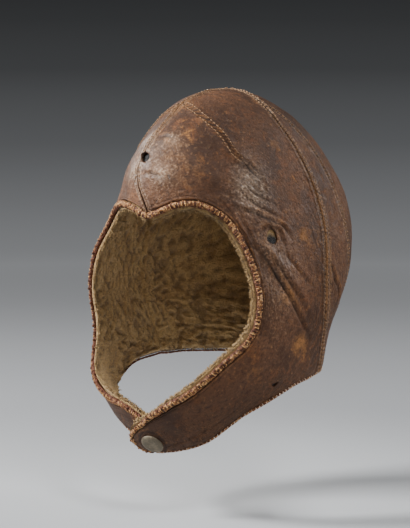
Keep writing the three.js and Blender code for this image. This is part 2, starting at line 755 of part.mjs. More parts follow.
function borderOf(directions, hand, cells) {
  return cells.map(([i, j]) => ({ toward: directions[i][j], hand }));
}
const lastRow = SIDE_DOWNS.length - 1;
const farColumn = SIDE_ACROSSES.length - 1;
const tipCells = SIDE_ACROSSES.map((_, j) => [lastRow, j]).filter(([, j]) => j !== 1 && j !== farColumn - 1);
const faceCells = SIDE_DOWNS.map((_, i) => [i, 0]).filter(([i]) => i !== 1);
const placedRight = mirrorGrid(rightGrid);
const faceStations = [
  ...borderOf(leftGrid, 1, [...tipCells].reverse().slice(0, -1)),
  ...borderOf(leftGrid, 1, [...faceCells].reverse().slice(0, -1)),
  ...borderOf(placedRight, -1, faceCells),
  ...borderOf(placedRight, -1, tipCells.slice(1)),
];
add('face_binding', roll(faceStations, -1, ROLL_WIDTH, ROLL_HEIGHT, -LEATHER), paleBinding());

// The overcast edge along the bottom, from tip to tip round the nape

const hemCells = SIDE_DOWNS.map((_, i) => [i, farColumn]).filter(([i]) => i >= CORNER_ROW && i < lastRow);
const lastBackRow = backDirections.length - 1;
const napeCells = backDirections[0].map((_, j) => [lastBackRow, j]).slice(1, -1);
const hemStations = [
  ...borderOf(leftGrid, 1, [...hemCells].reverse()),
  ...borderOf(backDirections, 0, napeCells),
  ...borderOf(placedRight, -1, hemCells),
];
const hemLow = -(LEATHER + HEM_HEIGHT) / 2;
add('hem_binding', roll(hemStations, 1, HEM_WIDTH, HEM_HEIGHT, hemLow), paleBinding());

// The snap: a domed cap on the left flap, its post through leather and fleece,
// and the plain stud on the right flap below it

function turned(profile, toward, base) {
  const shape = new THREE.LatheGeometry(profile.map(([r, y]) => new THREE.Vector2(r, y)), ROUND_SIDES);
  shape.applyQuaternion(uprightTo(toward));
  shape.translate(...base.toArray());
  shape.deleteAttribute('normal');
  shape.deleteAttribute('uv');
  return mergeVertices(shape, 1e-4);
}

const snapToward = direction(SNAP_AT);
const capRadius = CAP_DIAMETER / 2;
const capProfile = [
  [0, -(fleeceBottom + GAP)],
  [postRadius, -(fleeceBottom + GAP)],
  [postRadius, 0],
  [capRadius, 0],
  [capRadius, 0.3 * CAP_HEIGHT],
  [0.9 * capRadius, 0.72 * CAP_HEIGHT],
  [0.7 * capRadius, CAP_HEIGHT],
  [0.4 * capRadius, 0.9 * CAP_HEIGHT],
  [0, 0.8 * CAP_HEIGHT],
];
add('snap_cap', turned(capProfile, snapToward, outerPoint(snapToward, 1, -GAP)), wornMetal());

const studRadius = STUD_DIAMETER / 2;
const studProfile = [
  [0, -LEATHER],
  [postRadius, -LEATHER],
  [postRadius, 0],
  [studRadius, 0],
  [studRadius, STUD_HEIGHT],
  [0, STUD_HEIGHT],
];
add('snap_stud', turned(studProfile, snapToward, outerPoint(snapToward, -1, -GAP)), wornMetal());

export default helmet;
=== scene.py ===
"""A worn leather flying helmet with a fleece lining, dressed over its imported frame.

Lengths are millimetres until a mesh is made. +Z is up, -Y is the face and +X the wearer's
left. The origin is the inside top of the lining, where the head bears.
"""
import logging
import math
from dataclasses import dataclass, field
from enum import Enum

import bpy
import numpy as np
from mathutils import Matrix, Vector


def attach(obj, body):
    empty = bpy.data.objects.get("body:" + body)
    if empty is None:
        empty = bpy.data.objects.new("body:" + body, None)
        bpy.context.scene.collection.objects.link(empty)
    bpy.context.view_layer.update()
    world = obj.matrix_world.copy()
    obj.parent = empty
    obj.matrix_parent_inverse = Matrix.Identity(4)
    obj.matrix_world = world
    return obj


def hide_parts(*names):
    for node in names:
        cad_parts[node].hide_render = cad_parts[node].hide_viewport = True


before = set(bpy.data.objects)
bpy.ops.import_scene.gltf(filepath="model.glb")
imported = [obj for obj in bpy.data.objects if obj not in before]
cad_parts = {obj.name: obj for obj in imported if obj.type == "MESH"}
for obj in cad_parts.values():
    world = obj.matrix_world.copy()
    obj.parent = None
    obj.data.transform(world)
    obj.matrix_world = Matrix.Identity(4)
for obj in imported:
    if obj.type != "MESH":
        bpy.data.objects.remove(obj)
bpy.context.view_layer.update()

LOG = logging.getLogger("helmet")
MM = 0.001
Array = np.ndarray


class Hand(Enum):
    """Which side of the head a piece lies on."""

    LEFT = 1
    RIGHT = -1
    BACK = 0


class Edge(Enum):
    """An edge of a panel's grid."""

    HEAD = "head"
    FOOT = "foot"
    NEAR = "near"
    FAR = "far"

    @property
    def is_upright(self) -> bool:
        """True for the two edges that run down the rows."""
        return self in (Edge.NEAR, Edge.FAR)

    def line(self, grid: Array, inside: int = 0) -> Array:
        """The line of a grid at this edge, or a number of lines inside it."""
        index = inside if self in (Edge.HEAD, Edge.NEAR) else -1 - inside
        return grid[:, index] if self.is_upright else grid[index]


@dataclass(frozen=True)
class Walls:
    """Thicknesses, clearances and edge rolls."""

    leather: float = 2.0
    fleece: float = 4.5
    gap: float = 0.3
    roll_width: float = 5.0
    roll_height: float = 3.4
    hem_width: float = 1.6
    hem_height: float = 2.6
    fleece_reveal: float = 3.4
    fleece_setback: float = 0.6

    @property
    def lining(self) -> float:
        """Depth of the lining's inside below the leather's outside."""
        return self.leather + self.gap + self.fleece

    @property
    def lap(self) -> float:
        """How far the left chin flap stands off the form to pass outside the right one."""
        return self.fleece + 3 * self.gap + self.roll_height


WALLS = Walls()


@dataclass(frozen=True)
class Section:
    """A level section of the form, its lengths as shares of the form's own sizes."""

    down: float
    half: float
    front: float
    back: float
    middle: float
    front_power: float
    back_power: float


SECTIONS = (
    Section(0.023, 0.27, 0.31, 0.32, 0.0, 2.0, 2.0),
    Section(0.061, 0.44, 0.51, 0.5, 0.05, 1.9, 2.0),
    Section(0.114, 0.58, 0.69, 0.665, 0.11, 1.75, 2.0),
    Section(0.19, 0.72, 0.83, 0.84, 0.15, 1.66, 2.0),
    Section(0.274, 0.83, 0.895, 0.965, 0.17, 1.66, 2.0),
    Section(0.361, 0.93, 0.925, 1.0, 0.14, 1.78, 2.0),
    Section(0.456, 0.99, 0.965, 0.95, 0.09, 2.05, 2.0),
    Section(0.551, 1.0, 1.0, 0.83, 0.02, 2.3, 2.0),
    Section(0.646, 0.955, 1.0, 0.7, -0.04, 2.3, 2.0),
    Section(0.741, 0.9, 0.98, 0.64, -0.09, 2.25, 2.1),
    Section(0.817, 0.81, 0.93, 0.62, -0.13, 2.15, 2.2),
    Section(0.894, 0.64, 0.86, 0.49, -0.17, 2.0, 2.2),
    Section(0.954, 0.41, 0.67, 0.3, -0.2, 2.0, 2.0),
)


@dataclass(frozen=True)
class Place:
    """A direction from the form's middle, in degrees. round: 0 is the face, 90 the left ear."""

    round: float
    up: float

    def toward(self) -> Array:
        """The place as a unit vector."""
        level = math.cos(math.radians(self.up))
        turn = math.radians(self.round)
        return np.array([level * math.sin(turn), -level * math.cos(turn), math.sin(math.radians(self.up))])


def places(*pairs: tuple[float, float]) -> tuple[Place, ...]:
    """Places from pairs of round and up."""
    return tuple(Place(*pair) for pair in pairs)


def unit(vectors: Array) -> Array:
    """Vectors scaled to length one along their last axis."""
    return vectors / np.maximum(np.linalg.norm(vectors, axis=-1, keepdims=True), 1e-12)


def dot(a: Array, b: Array) -> Array:
    """Dot products along the last axis."""
    return np.sum(a * b, axis=-1)


def smooth(low: float, high: float, value: Array) -> Array:
    """Rises smoothly from 0 at one value to 1 at the other.

    Args:
        low: the value where the result is 0.
        high: the value where the result is 1; it may be below low.
        value: the values to read.

    Returns:
        The smooth step of each value.
    """
    t = np.clip((value - low) / (high - low), 0, 1)
    return t * t * (3 - 2 * t)


def bell(value: Array, width: float) -> Array:
    """A bell that is 1 at zero and falls off over a width."""
    return np.exp(-((value / width) ** 2))


def read_along(at: float | Array, along: Array, values: Array) -> Array:
    """Vectors given at distances along a line, read at other distances."""
    return np.stack([np.interp(at, along, column) for column in values.T], axis=-1)


@dataclass(frozen=True)
class Face:
    """The face edge of one side, counted towards that side: along the brow, then the jaw."""

    brow: tuple[Place, ...]
    jaw: tuple[Place, ...]


@dataclass(frozen=True)
class Flap:
    """The end of a chin flap: its face edge, its rounded tip and its hem coming back."""

    edge: tuple[Place, ...]
    tip: tuple[Place, ...]
    hem: tuple[Place, ...]


LEFT_FACE = Face(
    brow=places(
        (3.6, 25), (12, 28.8), (21, 32.8), (28.5, 33.6), (36, 31.2), (42.6, 26.6),
        (47.6, 18.6), (51.6, 9), (54.2, -1), (54.8, -11), (53.2, -20),
    ),
    jaw=places((53.2, -20), (48, -26.6), (40.8, -31), (29, -37.4), (19.5, -41.3)),
)
RIGHT_FACE = Face(
    brow=places(
        (-3.6, 25), (4, 27.8), (13.5, 29.8), (22, 30.4), (30, 29.4), (37.5, 26),
        (45, 18.6), (50.5, 8), (54.5, -4), (56.8, -20),
    ),
    jaw=places((56.8, -20), (55.6, -29), (50.5, -36.6), (42, -42), (31, -44.6), (20, -45.2)),
)
SIDE_HEM = places((101, -44.8), (91, -45), (81, -45.2), (70, -46.6))
BACK_HEM = places(
    (101, -44.8), (120, -46), (150, -48), (180, -48.8), (210, -48), (240, -46), (259, -44.8),
)
LEFT_FLAP = Flap(
    edge=places((14.5, -43.6), (7.5, -46.5), (2, -48.8)),
    tip=places((-2, -50.4), (-3.2, -52.2), (-1.6, -54.2), (4, -55.2)),
    hem=places((56, -49.2), (41, -51.9), (26, -54.4), (14, -55.2)),
)
RIGHT_FLAP = Flap(
    edge=places((9, -45.9), (0, -48.4), (-8, -50.2)),
    tip=places((-14.5, -52.8), (-16.5, -55.4), (-13, -57.6), (-5, -58.8)),
    hem=places((56, -48.6), (41, -50), (27, -51.2), (15, -54), (4, -58)),
)
# The centre seam by its angle up and its slope to the wearer's left; the crown seam by its
# lean from upright and its slope to the back; the back seams by shares down and across
CENTRE_SEAM = (
    (25, 0.063), (29.5, 0.014), (34.5, -0.042), (40, -0.062),
    (46, -0.052), (56, -0.05), (68, -0.035), (80, -0.01),
)
CROWN_SEAM = (
    (0, 0.06), (12, 0.05), (22, 0.03), (32, 0.07), (45, 0.11), (55, 0.13),
    (65, 0.12), (78, 0.085), (92, 0.045), (107, 0.055), (124, 0.11),
)
BACK_SEAM = ((0.0, 0.2), (0.35, 0.24), (0.7, 0.27), (1.0, 0.28))
BACK_TOP_SHARE = 0.148
SPLIT = 0.6
PEAK_SHARPNESS = 6
ROW_CROWDING = 0.25
SIDE_CROWDING = 0.5
BACK_CROWDING = 0.4
SNAP_AT = Place(6, -52.2)
SNAP_RADIUS = 8.2


@dataclass(frozen=True)
class Fold:
    """A broad fold or dent. long and wide are half lengths in radians."""

    hand: Hand
    at: Place
    turn: float
    long: float
    wide: float
    lift: float


FOLDS = (
    Fold(Hand.BACK, Place(33, 60), -38, 0.5, 0.05, 0.9),
    Fold(Hand.LEFT, Place(55, 44), -50, 0.13, 0.09, -1.3),
    Fold(Hand.BACK, Place(20, 42), 0, 0.24, 0.13, 1.2),
    Fold(Hand.LEFT, Place(62, 26), -30, 0.16, 0.055, 1.4),
    Fold(Hand.LEFT, Place(63, -1), -52, 0.34, 0.06, -1.5),
    Fold(Hand.LEFT, Place(69, 0), -52, 0.32, 0.06, 1.2),
    Fold(Hand.RIGHT, Place(66, 22), -35, 0.2, 0.07, 1.1),
    Fold(Hand.RIGHT, Place(70, -8), -60, 0.3, 0.07, -1.1),
    Fold(Hand.RIGHT, Place(31, 60), 0, 0.2, 0.17, -3.3),
    Fold(Hand.RIGHT, Place(50, 3), 90, 0.24, 0.22, 2.25),
    Fold(Hand.RIGHT, Place(42, -40), 0, 0.2, 0.13, 3.0),
    Fold(Hand.BACK, Place(122, -16), 82, 0.3, 0.07, -1.4),
    Fold(Hand.BACK, Place(133, -20), 84, 0.28, 0.07, 1.2),
)


@dataclass(frozen=True)
class Crease:
    """A narrow crease through places, with a ridge beside it."""

    hands: tuple[Hand, ...]
    route: tuple[Place, ...]
    depth: float
    width: float
    ridge: float = 0.0


BOTH = (Hand.LEFT, Hand.RIGHT)
LEFT_ONLY = (Hand.LEFT,)
BACK_ONLY = (Hand.BACK,)
CREASES = (
    Crease(
        BOTH,
        places((44, 32.5), (47.4, 31.4), (54.9, 29.6), (61.7, 26), (69.4, 22.8), (73.3, 17.2)),
        1.3, 1.5, 0.9,
    ),
    Crease(LEFT_ONLY, places((57.2, 17), (58, 21), (62.4, 23), (67, 20.8), (68.4, 14.5)), 0.7, 1.3, 0.7),
    Crease(
        BOTH,
        places(
            (50.8, 14.7), (56.3, 10.4), (60.5, 3.9), (66.8, -6.5),
            (71.7, -14.3), (77.8, -22.8), (83.4, -28.3),
        ),
        1.5, 1.4, 0.8,
    ),
    Crease(BOTH, places((56, 14), (60, 9.5), (66, 1), (71, -6), (77, -13)), 0.8, 1.2, 0.5),
    Crease(LEFT_ONLY, places((60, 4), (66, -4.5), (71.7, -12), (76, -18)), 0.6, 0.9, 0.3),
    Crease(LEFT_ONLY, places((66, 12), (71, 6), (77, -1), (84, -7)), 0.6, 1.3, 0.4),
    Crease(BOTH, places((36, 34.6), (42.5, 29.5), (46.3, 22.7), (50, 14), (53, 5)), 0.7, 0.8, 0.4),
    Crease(LEFT_ONLY, places((40, 37), (45, 33), (48.5, 26.5), (52, 18), (55, 9)), 0.6, 0.8, 0.4),
    Crease(BOTH, places((46, 40), (53, 35.5), (60, 32), (68, 28), (76, 22)), 0.7, 1.0, 0.5),
    Crease(LEFT_ONLY, places((48, 44), (54, 39.6), (61, 37), (70, 33)), 0.6, 0.9, 0.4),
    Crease(BOTH, places((53.4, 52.2), (56, 50.3), (58.6, 48)), 1.4, 0.5, 0.8),
    Crease(BOTH, places((51.6, 50.4), (54.4, 48.6), (57.2, 46.4)), 1.5, 0.5, 0.8),
    Crease(BOTH, places((53, 47.4), (56, 45.2), (59.4, 42.4)), 1.3, 0.5, 0.7),
    Crease(LEFT_ONLY, places((58, 46.6), (61, 44), (63.4, 41)), 0.9, 0.6, 0.4),
    Crease(BOTH, places((-1.5, 52), (3, 53), (8, 52.5)), 0.9, 1.4, 0.5),
    Crease(BOTH, places((-1, 38), (4, 38.6), (9, 37.6)), 0.9, 1.4, 0.5),
    Crease(BACK_ONLY, places((96.7, 3.8), (100.9, -4.9), (106, -11.1), (104, -20)), 1.3, 1.5, 0.9),
    Crease(BACK_ONLY, places((150, -10), (165, -14), (182, -15), (200, -13)), 0.9, 2.0, 0.6),
    Crease(BACK_ONLY, places((140, -26), (160, -30), (185, -31), (215, -27)), 0.9, 2.0, 0.6),
    Crease(BACK_ONLY, places((257, 2), (252, -8), (249, -18)), 1.1, 1.5, 0.8),
)
DART = places((-8.6, 70), (4, 68.4), (18, 65), (28, 62), (37, 58.7), (45, 53.4), (52, 50.7))


@dataclass(frozen=True)
class Scuff:
    """A worn spot where the leather's orange body shows."""

    hand: Hand
    at: Place
    size: float
    strength: float


SCUFFS = (
    Scuff(Hand.LEFT, Place(101.4, 76.4), 6.0, 1.0),
    Scuff(Hand.LEFT, Place(80.2, 58.1), 7.0, 0.65),
    Scuff(Hand.LEFT, Place(83.8, 16.8), 9.0, 0.75),
    Scuff(Hand.LEFT, Place(77.3, -30.7), 10.0, 0.9),
    Scuff(Hand.LEFT, Place(66.1, -10.3), 8.0, 0.6),
    Scuff(Hand.LEFT, Place(52.0, -36.0), 9.0, 0.6),
    Scuff(Hand.LEFT, Place(62.0, 16.8), 8.0, 0.6),
    Scuff(Hand.LEFT, Place(20.0, 44.0), 16.0, 0.45),
    Scuff(Hand.LEFT, Place(10.0, 50.0), 20.0, 0.35),
    Scuff(Hand.LEFT, Place(-4.0, 68.0), 10.0, 0.5),
    Scuff(Hand.RIGHT, Place(72.0, 20.0), 10.0, 0.6),
    Scuff(Hand.RIGHT, Place(60.0, 50.0), 8.0, 0.5),
    Scuff(Hand.RIGHT, Place(70.0, -20.0), 12.0, 0.5),
)
SCRATCHES = (
    places((11.0, 53.6), (16.3, 57.3), (21.8, 59.6)),
    places((12.0, 57.4), (17.0, 54.6), (20.4, 52.2)),
    places((9.0, 62.0), (10.0, 60.0)),
    places((9.6, 58.2), (12.0, 57.6)),
    places((52.0, 1.0), (56.0, -9.0)),
    places((84.0, 47.0), (88.0, 40.0)),
)


class Noise:
    """Smooth lattice noise that gives the same values on each run."""

    entries = 8192
    primes = (73856093, 19349663, 83492791)

    def __init__(self, seed: int) -> None:
        """Fills the table of lattice values from a seed."""
        self.table = np.random.default_rng(seed).uniform(-1, 1, self.entries)

    def at(self, points: Array, size: float) -> Array:
        """Noise from -1 to 1.

        Args:
            points: positions, their last axis x, y, z.
            size: the length over which the noise changes.

        Returns:
            One value for each position.
        """
        scaled = points / size
        cell = np.floor(scaled).astype(np.int64)
        t = scaled - cell
        t = t * t * (3 - 2 * t)
        total = np.zeros(points.shape[:-1])
        for corner in range(8):
            step = np.array([corner & 1, corner >> 1 & 1, corner >> 2 & 1])
            at = cell + step
            x, y, z = (at[..., axis] * prime for axis, prime in enumerate(self.primes))
            weight = np.prod(np.where(step == 1, t, 1 - t), axis=-1)
            total += weight * self.table[(x ^ y ^ z) & (self.entries - 1)]
        return total

    def layered(self, points: Array, size: float, layers: int = 3) -> Array:
        """Noise with finer layers added, each half as large and half as strong."""
        return sum(self.at(points + 17.3 * k, size / 2**k) / 2**k for k in range(layers))


class Form:
    """The egg-shaped form that the leather covers."""

    height = 263.0
    half_breadth = 88.0
    front_reach = 98.0
    back_reach = 107.0
    core_aft = 0.05
    core_down = 0.475
    halvings = 22

    def __init__(self) -> None:
        """Works out the stations and the columns of the section table."""
        self.crown_z = WALLS.lining
        self.core = np.array(
            [0.0, self.core_aft * self.back_reach, self.crown_z - self.core_down * self.height]
        )
        down = np.array([row.down for row in SECTIONS])
        self.stations = np.concatenate([[0.0], np.arccos(1 - 2 * down), [np.pi]])
        lowest = SECTIONS[-1].middle * self.half_breadth
        self.columns = {
            "half": self._column("half", self.half_breadth, 0, 0),
            "front": self._column("front", self.front_reach, 0, 0),
            "back": self._column("back", self.back_reach, 0, 0),
            "middle": self._column("middle", self.half_breadth, 0, lowest),
            "front_power": self._column("front_power", 1, 2, 2),
            "back_power": self._column("back_power", 1, 2, 2),
        }

    def _column(self, name: str, scale: float, top: float, bottom: float) -> tuple[Array, Array]:
        """Values and slopes of one column of the table.

        Args:
            name: the column.
            scale: the size that its shares are of.
            top: the value at the crown.
            bottom: the value at the lowest point.

        Returns:
            The values at the stations, and their slopes.
        """
        values = np.array([top, *(getattr(row, name) * scale for row in SECTIONS), bottom])
        before = np.concatenate([[0], np.arange(len(values) - 1)])
        after = np.concatenate([np.arange(1, len(values)), [len(values) - 1]])
        slopes = (values[after] - values[before]) / (self.stations[after] - self.stations[before])
        return values, slopes

    def _value(self, name: str, index: Array, span: Array, t: Array) -> Array:
        """A column between its stations, as a Hermite curve.

        Args:
            name: the column.
            index: the station above each point.
            span: the distance to the station below it.
            t: the share of that distance.

        Returns:
            The column's value at each point.
        """
        values, slopes = self.columns[name]
        t2, t3 = t * t, t * t * t
        return (
            (2 * t3 - 3 * t2 + 1) * values[index]
            + (t3 - 2 * t2 + t) * slopes[index] * span
            + (3 * t2 - 2 * t3) * values[index + 1]
            + (t3 - t2) * slopes[index + 1] * span
        )

    def _inside(self, points: Array) -> Array:
        """Tells which points lie inside the form.

        Args:
            points: positions, their last axis x, y, z.

        Returns:
            True or False for each point.
        """
        down = (self.crown_z - points[..., 2]) / self.height
        within = (down > 0) & (down < 1)
        station = np.arccos(1 - 2 * np.clip(down, 1e-9, 1 - 1e-9))
        index = np.clip(np.searchsorted(self.stations, station) - 1, 0, len(self.stations) - 2)
        span = self.stations[index + 1] - self.stations[index]
        t = (station - self.stations[index]) / span
        middle = self._value("middle", index, span, t)
        front = points[..., 1] < middle
        reach = np.where(
            front,
            self._value("front", index, span, t) + middle,
            self._value("back", index, span, t) - middle,
        )
        power = np.where(
            front, self._value("front_power", index, span, t), self._value("back_power", index, span, t)
        )
        across = np.abs(points[..., 0]) / np.maximum(self._value("half", index, span, t), 1e-6)
        along = np.abs(points[..., 1] - middle) / np.maximum(reach, 1e-6)
        return within & (across**power + along**power < 1)

    def points(self, toward: Array) -> Array:
        """The form's points in directions from its core.

        Args:
            toward: unit vectors along the last axis.

        Returns:
            One point for each direction.
        """
        near = np.zeros(toward.shape[:-1])
        far = np.full(toward.shape[:-1], self.height)
        for _ in range(self.halvings):
            middle = (near + far) / 2
            inside = self._inside(self.core + toward * middle[..., None])
            near = np.where(inside, middle, near)
            far = np.where(inside, far, middle)
        return self.core + toward * ((near + far) / 2)[..., None]

    def spot(self, place: Place) -> Array:
        """The form's point at a place."""
        return self.points(place.toward()[None])[0]

    def normals(self, toward: Array) -> Array:
        """The form's outward normals in directions from its core.

        Args:
            toward: unit vectors along the last axis.

        Returns:
            One unit vector for each direction.
        """
        upright = np.where(np.abs(toward[..., 2:]) < 0.9, [0.0, 0.0, 1.0], [1.0, 0.0, 0.0])
        sideways = unit(np.cross(upright, toward))
        upward = unit(np.cross(toward, sideways))
        step = 0.01
        ahead = self.points(unit(toward + step * sideways)) - self.points(unit(toward - step * sideways))
        above = self.points(unit(toward + step * upward)) - self.points(unit(toward - step * upward))
        return unit(np.cross(ahead, above))


FORM = Form()


class DirectionCurve:
    """A centripetal Catmull-Rom curve through directions, read evenly along its length."""

    def __init__(self, directions: list[Array], samples: int = 48) -> None:
        """Samples the curve.

        Args:
            directions: the directions that it passes through.
            samples: how many samples each span takes.
        """
        before = 2 * directions[0] - directions[1]
        beyond = 2 * directions[-1] - directions[-2]
        knots = np.array([before, *directions, beyond])
        t = np.linspace(0, 1, samples, endpoint=False)[:, None]
        spans = []
        for a, b, c, d in zip(knots, knots[1:], knots[2:], knots[3:]):
            first, span, last = (math.sqrt(np.linalg.norm(q - p)) for p, q in ((a, b), (b, c), (c, d)))
            start = ((b - a) / first - (c - a) / (first + span) + (c - b) / span) * span
            end = ((c - b) / span - (d - b) / (span + last) + (d - c) / last) * span
            spans.append(
                b + start * t + (3 * (c - b) - 2 * start - end) * t**2 + (2 * (b - c) + start + end) * t**3
            )
        self.track = np.vstack([*spans, directions[-1][None]])
        steps = np.linalg.norm(np.diff(self.track, axis=0), axis=1)
        self.shares = np.concatenate([[0.0], np.cumsum(steps)]) / steps.sum()

    def __call__(self, share: Array) -> Array:
        """Directions at shares of the curve's length."""
        return unit(read_along(np.clip(share, 0, 1), self.shares, self.track))


def curve_through(route: tuple[Place, ...]) -> DirectionCurve:
    """A curve through places."""
    return DirectionCurve([place.toward() for place in route])


def flipped(vectors: Array) -> Array:
    """Vectors mirrored from one side of the head to the other."""
    return vectors * np.array([-1.0, 1.0, 1.0])


def seam_direction(lean: float, aft: float) -> Array:
    """A direction on the crown seam."""
    return unit(np.array([math.sin(math.radians(lean)), aft, math.cos(math.radians(lean))]))


NAPE = curve_through(BACK_HEM)
CROWN = DirectionCurve([*(seam_direction(*row) for row in CROWN_SEAM), SIDE_HEM[0].toward()])


def centre_seam(side: int) -> DirectionCurve:
    """The centre seam as the left piece sees it, or the right piece drawn on the left.

    Args:
        side: 1 for the left piece and -1 for the right one.

    Returns:
        The curve, from the face edge to the crown.
    """
    rows = []
    for up, slope in CENTRE_SEAM:
        level = Place(0, up).toward()
        level[0] = slope * side
        rows.append(unit(level))
    return DirectionCurve([*rows, seam_direction(*CROWN_SEAM[0])])


def coons(head: Array, foot: Array, near: Array, far: Array, down: Array, across: Array) -> Array:
    """Directions of a grid between four edges.

    Args:
        head: directions of the head edge at each cell's share across.
        foot: directions of the foot edge, in the same way.
        near: directions of the near edge at each row.
        far: directions of the far edge at each row.
        down: each cell's share of the way down.
        across: each cell's share of the way across.

    Returns:
        Unit vectors, rows by columns.
    """
    u, v = across[..., None], down[..., None]
    ruled = near[:, None] * (1 - u) + far[:, None] * u + head * (1 - v) + foot * v
    blend = (
        near[0] * (1 - v) * (1 - u)
        + far[0] * (1 - v) * u
        + near[-1] * v * (1 - u)
        + far[-1] * v * u
    )
    return unit(ruled - blend)


def crowded(count: int, ends: float) -> Array:
    """Shares from 0 to 1 that lie closer together at both ends."""
    t = np.linspace(0, 1, count)
    return t - ends * np.sin(2 * np.pi * t) / (2 * np.pi)


def route_distance(points: Array, route: Array, normals: Array | None = None) -> tuple[Array, Array, Array]:
    """Distances of points from a route.

    Args:
        points: positions, any shape with x, y, z last.
        route: the route's own points.
        normals: the surface's normals at the points, for the side.

    Returns:
        The distance, the share of the way along, and 1 or -1 for the side of the route.
    """
    best = np.full(points.shape[:-1], 1e9)
    share = np.zeros(points.shape[:-1])
    side = np.ones(points.shape[:-1])
    spans = len(route) - 1
    for k in range(spans):
        start, way = route[k], route[k + 1] - route[k]
        t = np.clip(dot(points - start, way) / max(float(way @ way), 1e-9), 0, 1)
        offset = points - start - t[..., None] * way
        gap = np.linalg.norm(offset, axis=-1)
        closer = gap < best
        best = np.where(closer, gap, best)
        share = np.where(closer, (k + t) / spans, share)
        if normals is not None:
            side = np.where(closer, np.sign(dot(np.cross(way, offset), normals)), side)
    return best, share, side


@dataclass
class Panel:
    """A patch of the form, sampled in rows down and columns across."""

    name: str
    hand: Hand
    toward: Array
    base: Array = field(init=False)
    normal: Array = field(init=False)
    reach: dict[Edge, Array] = field(init=False)

    def __post_init__(self) -> None:
        """Works out the points, normals and distances from the edges."""
        self.base = FORM.points(self.toward)
        self.normal = FORM.normals(self.toward)
        self.measure()

    def measure(self) -> None:
        """Measures how far each point lies from each edge, along the grid."""
        across = np.linalg.norm(np.diff(self.base, axis=1), axis=-1)
        down = np.linalg.norm(np.diff(self.base, axis=0), axis=-1)
        rows, columns = self.base.shape[:2]
        near = np.concatenate([np.zeros((rows, 1)), np.cumsum(across, axis=1)], axis=1)
        head = np.concatenate([np.zeros((1, columns)), np.cumsum(down, axis=0)], axis=0)
        self.reach = {
            Edge.NEAR: near,
            Edge.FAR: near[:, -1:] - near,
            Edge.HEAD: head,
            Edge.FOOT: head[-1:] - head,
        }

    def outward(self, edge: Edge) -> Array:
        """The way out of an edge.

        Args:
            edge: the edge.

        Returns:
            A unit vector for each point along it.
        """
        rim, normals = edge.line(self.base), edge.line(self.normal)
        along = unit(np.gradient(rim, axis=0))
        way = rim - edge.line(self.base, 1)
        way = way - along * dot(way, along)[:, None] - normals * dot(way, normals)[:, None]
        return unit(way)

    def stretch(self, edge: Edge, amount: float | Array, fade: float = 14.0) -> None:
        """Moves an edge along the form, with what lies near it.

        Args:
            edge: the edge to move.
            amount: how far out, for the whole edge or for each point along it.
            fade: how far from the edge the move dies out.
        """
        way = self.outward(edge)
        share = np.clip(1 - self.reach[edge] / fade, 0, 1)
        moved = way * np.broadcast_to(amount, way.shape[:1])[:, None]
        moved = moved[:, None] if edge.is_upright else moved[None]
        self.base = self.base + moved * share[..., None]


def side_panel(name: str, hand: Hand, rows: int, columns: int) -> Panel:
    """The big piece of one side: brow, temple, ear and chin flap.

    Args:
        name: the panel's name.
        hand: the side.
        rows: rows of the grid.
        columns: columns of the grid.

    Returns:
        The panel, on its own side of the head.
    """
    face, flap = (LEFT_FACE, LEFT_FLAP) if hand is Hand.LEFT else (RIGHT_FACE, RIGHT_FLAP)
    seam = centre_seam(hand.value)
    down, across = crowded(rows, ROW_CROWDING), crowded(columns, SIDE_CROWDING)
    upper = down <= SPLIT
    first, second = down[upper] / SPLIT, (down[~upper] - SPLIT) / (1 - SPLIT)
    brow = curve_through(face.brow)(first)
    turn = ((1 - first) ** PEAK_SHARPNESS)[:, None]
    brow = unit(brow * (1 - turn) + seam(np.zeros(1)) * turn)
    jaw = curve_through(face.jaw + flap.edge)(second)
    hem = curve_through(SIDE_HEM + flap.hem + flap.tip[-1:])(second)
    tip = curve_through(flap.edge[-1:] + flap.tip)
    toward = coons(
        head=seam(across)[None],
        foot=tip(across)[None],
        near=np.vstack([brow, jaw]),
        far=np.vstack([CROWN(first), hem]),
        down=np.broadcast_to(down[:, None], (rows, columns)),
        across=np.broadcast_to(across[None], (rows, columns)),
    )
    if hand is Hand.RIGHT:
        toward = flipped(toward)
    return Panel(name, hand, toward)


def crown_top(across: Array) -> Array:
    """The head edge of the back pieces, from the left ear's side to the right one's.

    Args:
        across: shares of the way across.

    Returns:
        Unit vectors.
    """
    share = np.abs(1 - 2 * across) * BACK_TOP_SHARE
    left = CROWN(share)
    return np.where((across < 0.5)[..., None], left, flipped(left))


def back_panel(name: str, first: int, last: int, rows: int, columns: int) -> Panel:
    """A piece of the back of the head.

    Args:
        name: the panel's name.
        first: the seam that it starts at, 0 at the left ear and 3 at the right one.
        last: the seam that it ends at.
        rows: rows of the grid.
        columns: columns of the grid.

    Returns:
        The panel.
    """
    down = crowded(rows, ROW_CROWDING)
    seam = np.interp(down, *zip(*BACK_SEAM))
    seams = [np.zeros(rows), seam, 1 - seam, np.ones(rows)]
    shares = crowded(columns, BACK_CROWDING)
    across = seams[first][:, None] + shares[None] * (seams[last] - seams[first])[:, None]
    side = CROWN(BACK_TOP_SHARE + down * (1 - BACK_TOP_SHARE))
    toward = coons(
        head=crown_top(across),
        foot=NAPE(across),
        near=side,
        far=flipped(side),
        down=np.broadcast_to(down[:, None], across.shape),
        across=across,
    )
    return Panel(name, Hand.BACK, toward)


